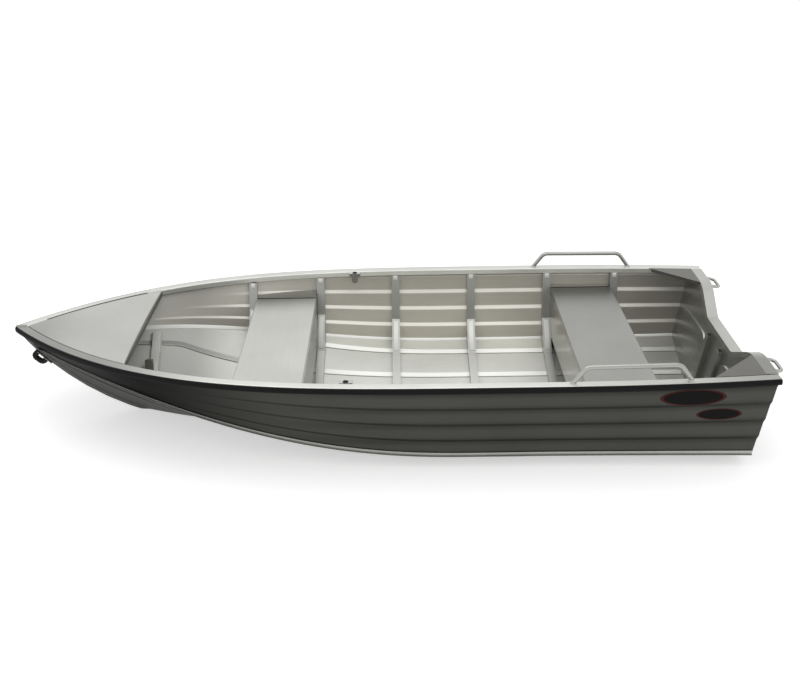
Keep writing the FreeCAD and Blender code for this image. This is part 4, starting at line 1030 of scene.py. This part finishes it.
def plain_metal(name, tone, stretch=ALONG, rough=0.36, warmth=0.0, up=None, edge=0.4, metal=0.8, fades=(),
                lit=(0.30, 0.55)):
    """One tone all over, or a second one where it faces up, which is painted light and shade. Each fade is painted
    shade: an axis, the two places that it runs between and the share of the tone left at its end."""
    material, g = open_material(name)
    up = tone if up is None else up
    colour = g.mix(g.ramp(g.split("Normal")["Z"], *lit), grey(tone, warmth), grey(up, warmth))
    for axis, low, high, end in fades:
        colour = g.scaled(colour, g.falloff(g.split()[axis], low, high, end))
    finish_metal(g, colour, rough, stretch, edge, 0.7, metal)
    return material


def black_material(name, tone, rough):
    """Rubber or moulded plastic with a fine pebble."""
    material, g = open_material(name)
    scuffs = g.ramp(g.noise(g.position(), 9.0, 4.0, 0.7), 0.5, 0.8)
    pebble = g.noise(g.position(), 240.0, 2.0, 0.5)
    g.surface({"Base Color": g.mix(scuffs, (tone, tone, tone * 1.05), (tone * 2.2,) * 3),
               "Roughness": g.math("MULTIPLY_ADD", scuffs, 0.2, rough), "Specular IOR Level": 0.15,
               "Normal": g.bump(pebble, 0.15, 0.0005)})
    return material


def sticker_material():
    """Black oval film with a thin dull red line inside its rim."""
    material, g = open_material("sticker_film")
    size = g.vector_math("LENGTH", {0: g.node("UVMap", uv_map="oval").outputs[0]}, "Value")
    rim = g.math("MULTIPLY", g.ramp(size, 0.90, 0.93), g.ramp(size, 0.985, 0.965))
    scuffs = g.noise(g.position(), 60.0, 3.0, 0.6)
    film = g.mix(scuffs, (0.006, 0.006, 0.006), (0.012, 0.0115, 0.011))
    g.surface({"Base Color": g.mix(rim, film, (0.13, 0.022, 0.020)),
               "Roughness": g.math("MULTIPLY_ADD", scuffs, 0.2, 0.45), "Specular IOR Level": 0.06})
    return material


def make_finishes():
    """Every finish of the boat by name. Material names and the record's slots come first."""
    # Outside sheets: a dark tone that is a painted reflection, and a darker one where they face down that is painted
    # shade.
    outer, under = (0.076, 0.078, 0.069), (0.058, 0.059, 0.053)
    side = sheet_material("planked_sheet", grey(0.53, 0.05), grey(0.66, 0.03), outer, under, 0.55, 0.05, 0.30, 1.35)
    bottom = sheet_material("bottom_sheet", grey(0.62), grey(0.77), outer, (0.078, 0.080, 0.072), 0.42, 0.8)
    # Painted shade: the port gunwale darker towards bow and stern, the deck towards its tip and on its lip, the seats
    # at their starboard ends and the transom cap at its port shoulder.
    near_painted_shade = [("X", 2.4, 3.2, 0.42), ("X", 1.5, 0.3, 0.75), ("X", 0.55, 0.08, 0.66)]
    deck_painted_shade = [("X", 3.30, 3.60, 0.7), ("Z", 0.489, 0.480, 0.35)]
    seat_end_painted_shade = [("Y", -0.32, -0.64, 0.55)]
    shoulder = [("Y", 0.36, 0.50, 0.56)]
    return {
        "hull_side": side, "hull_bottom": bottom,
        "gunwale": plain_metal("extrusion", 0.80, up=0.68),
        # The port gunwale is a painted light-and-shade copy of the gunwale: darker, with a lighter top.
        "gunwale_port": plain_metal("extrusion_near_shaded", 0.60, up=0.78, fades=near_painted_shade),
        "chine_strip": plain_metal("chine_extrusion", 0.46, up=0.22, fades=[("X", 2.0, 3.0, 0.60)]),
        # Dark tone of the outside, a painted reflection.
        "keel_bar": plain_metal("keel_extrusion", 0.09),
        "frame_bow_floor": plain_metal("bow_frame_metal", 0.95, UPRIGHT, rough=0.5, metal=0.4),
        "frame": plain_metal("frame_metal", 0.38, UPRIGHT, up=0.66, lit=(0.80, 0.94)),
        "seat_top_forward": plain_metal("seat_sheet_forward", 0.61, ACROSS, fades=seat_end_painted_shade),
        # Painted shade: the aft seat top in a darker tone than the forward one.
        "seat_top_aft": plain_metal("seat_sheet_aft_shaded", 0.36, ACROSS, fades=seat_end_painted_shade),
        "seat_box_forward": plain_metal("box_sheet_forward", 0.34, UPRIGHT),
        "seat_box_aft": plain_metal("box_sheet_aft", 0.34, UPRIGHT, rough=0.25, warmth=0.03),
        "foredeck": plain_metal("deck_sheet", 0.53, fades=deck_painted_shade),
        # Dark tone of the outside, a painted reflection.
        "transom_outer": plain_metal("transom_sheet_outer", 0.062, ACROSS),
        "transom_inner": plain_metal("transom_sheet_inner", 0.34, UPRIGHT, up=0.6, rough=0.3),
        "transom_cap": plain_metal("cap_extrusion", 0.40, up=0.50, fades=shoulder),
        "transom_stiffener": plain_metal("stiffener_metal", 0.34, UPRIGHT),
        "quarter_knee": plain_metal("knee_metal", 0.19, up=0.155, warmth=0.03),
        "grab_rail": plain_metal("rail_metal", 0.40, rough=0.24, edge=0.0, metal=0.95),
        "transom_handle": plain_metal("handle_metal", 0.45, rough=0.28, edge=0.0),
        "rowlock_socket": plain_metal("socket_metal", 0.26, UPRIGHT, rough=0.4, up=0.60),
        "fender": black_material("fender_rubber", 0.006, 0.7),
        # This near-black finish also makes the painted shade lines at the seat ends and beside the deck, and the
        # painted shade in the rowlock bores.
        "bow_eye": black_material("black_and_painted_shade", 0.007, 0.4),
    }


def dress_frame():
    """Gives each CAD node the first finish whose name begins the node's own."""
    for node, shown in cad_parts.items():
        materials = shown.data.materials
        materials.clear()
        materials.append(FINISH[next(name for name in FINISH if node.startswith(name))])


def make_hull_skins():
    t = lengthwise()
    surfaces = {"hull_side": side_rows(t), "hull_bottom": bottom_rows(t), "gunwale": rail_rows(gunwale_profile(), t),
                "fender": rail_rows(fender_profile(), t), "chine_strip": chine_rows(t[:-STEM_ROWS])}
    for node, rows in surfaces.items():
        for side, turn in SIDES:
            name = "%s_%s" % (node, side)
            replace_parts(skin(name + "_skin", rows * turn, FINISH.get(name, FINISH[node])), name)


def make_deck_skin():
    deck = skin("foredeck_skin", deck_rows(), FINISH["foredeck"], UP)
    deck.modifiers.new("thickness", "SOLIDIFY").thickness = SHEET
    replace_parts(deck, "foredeck")


def seen_plainly(g):
    """1 for rays that look straight at a thing, or at its mirror image."""
    path = g.node("LightPath").outputs
    seen = g.math("MAXIMUM", path["Is Camera Ray"], path["Is Glossy Ray"])
    return g.math("MAXIMUM", seen, path["Is Transmission Ray"])


def make_world():
    world = bpy.data.worlds.new("studio")
    g = emptied(world)
    strength = g.math("MULTIPLY_ADD", seen_plainly(g), 1.0 - WORLD_LIGHT, WORLD_LIGHT)
    background = g.node("Background", {"Color": (1.0,) * 4, "Strength": strength})
    g.node("OutputWorld", {"Surface": background.outputs[0]})
    scene.world = world


def waterline_outline():
    """Outline of the hull at height zero, in the middle of the sheet's thickness."""
    rows = bottom_rows(np.linspace(0.0, 1.0, 400))
    half = rows.shape[1] // 2
    middle = (rows[:, :half] + rows[:, ::-1][:, :half]) / 2.0
    below = middle[:, :, 2] < 0.0
    dips = below.any(axis=1)
    middle, below = middle[dips], below[dips]
    column, row = below.argmax(axis=1), np.arange(len(middle))
    a, b = middle[row, column - 1], middle[row, column]
    line = a + (b - a) * (a[:, 2] / (a[:, 2] - b[:, 2]))[:, None]
    start = transom_x(0.0) + SHEET / 2.0
    line = line[line[:, 0] > start]
    port = np.concatenate([line[:1] * [0.0, 1.0, 0.0] + [start, 0.0, 0.0], line])
    return np.concatenate([port, port[::-1] * MIRROR]) * [1.0, 1.0, 0.0]


def make_floor():
    """Floor at the waterline without the boat's outline, white where no shadow falls."""
    hole = waterline_outline()
    rim = FLOOR_MIDDLE + unit(hole - FLOOR_MIDDLE) * FLOOR_REACH
    count = len(hole)
    here = np.arange(count)
    there = np.roll(here, -1)
    faces = np.stack([here, there, there + count, here + count], axis=1)
    mesh = bpy.data.meshes.new("floor")
    mesh.from_pydata(np.concatenate([hole, rim]).tolist(), [], faces.tolist())
    floor = bpy.data.objects.new("floor", mesh)
    scene.collection.objects.link(floor)
    material = bpy.data.materials.new("floor_paint")
    g = emptied(material)
    matt = g.node("BsdfDiffuse", {"Color": (FLOOR_SHADE,) * 3 + (1.0,)})
    glow = g.node("Emission", {"Strength": g.math("MULTIPLY", seen_plainly(g), FLOOR_GLOW)})
    total = g.node("AddShader", {0: matt.outputs[0], 1: glow.outputs[0]})
    g.node("OutputMaterial", {"Surface": total.outputs[0]})
    mesh.materials.append(material)


def make_lamps():
    for name, spot, target, size, power in LAMPS:
        data = bpy.data.lights.new(name, "AREA")
        data.shape = "RECTANGLE"
        data.size, data.size_y = size
        data.energy = power
        lamp = bpy.data.objects.new(name, data)
        lamp.location = spot
        lamp.rotation_euler = (Vector(target) - Vector(spot)).to_track_quat("-Z", "Y").to_euler()
        scene.collection.objects.link(lamp)


FACING = facing_group()
GRAIN = mill_grain_group()
WEAR = edge_wear_group()
FINISH = make_finishes()
# Bright tone of the frames' gussets, which is painted light on the knees' up-facing slopes, and of their head tabs.
BRIGHT = plain_metal("bright_plate", 0.75, up=0.72, rough=0.5, metal=0.5)
WELD = plain_metal("weld_bead", 0.45, rough=0.3, edge=0.0)
COVE = plain_metal("seam_bead", 0.74, up=0.70, rough=0.45, edge=0.0, fades=[("X", 2.6, 3.3, 0.6)])
STICKER = sticker_material()

scene.view_settings.view_transform = "Standard"
for make_part in (make_camera, make_world, make_floor, make_lamps, dress_frame, make_hull_skins, make_deck_skin,
                  make_deck_shade_line, make_rails, make_handles, make_eye, make_seats, make_rib_details,
                  make_seam_beads, make_deck_post, make_seat_ends, make_seat_shade_lines, make_socket_bushes,
                  make_transom_panels, make_nose_plate, make_drain, make_stickers):
    make_part()
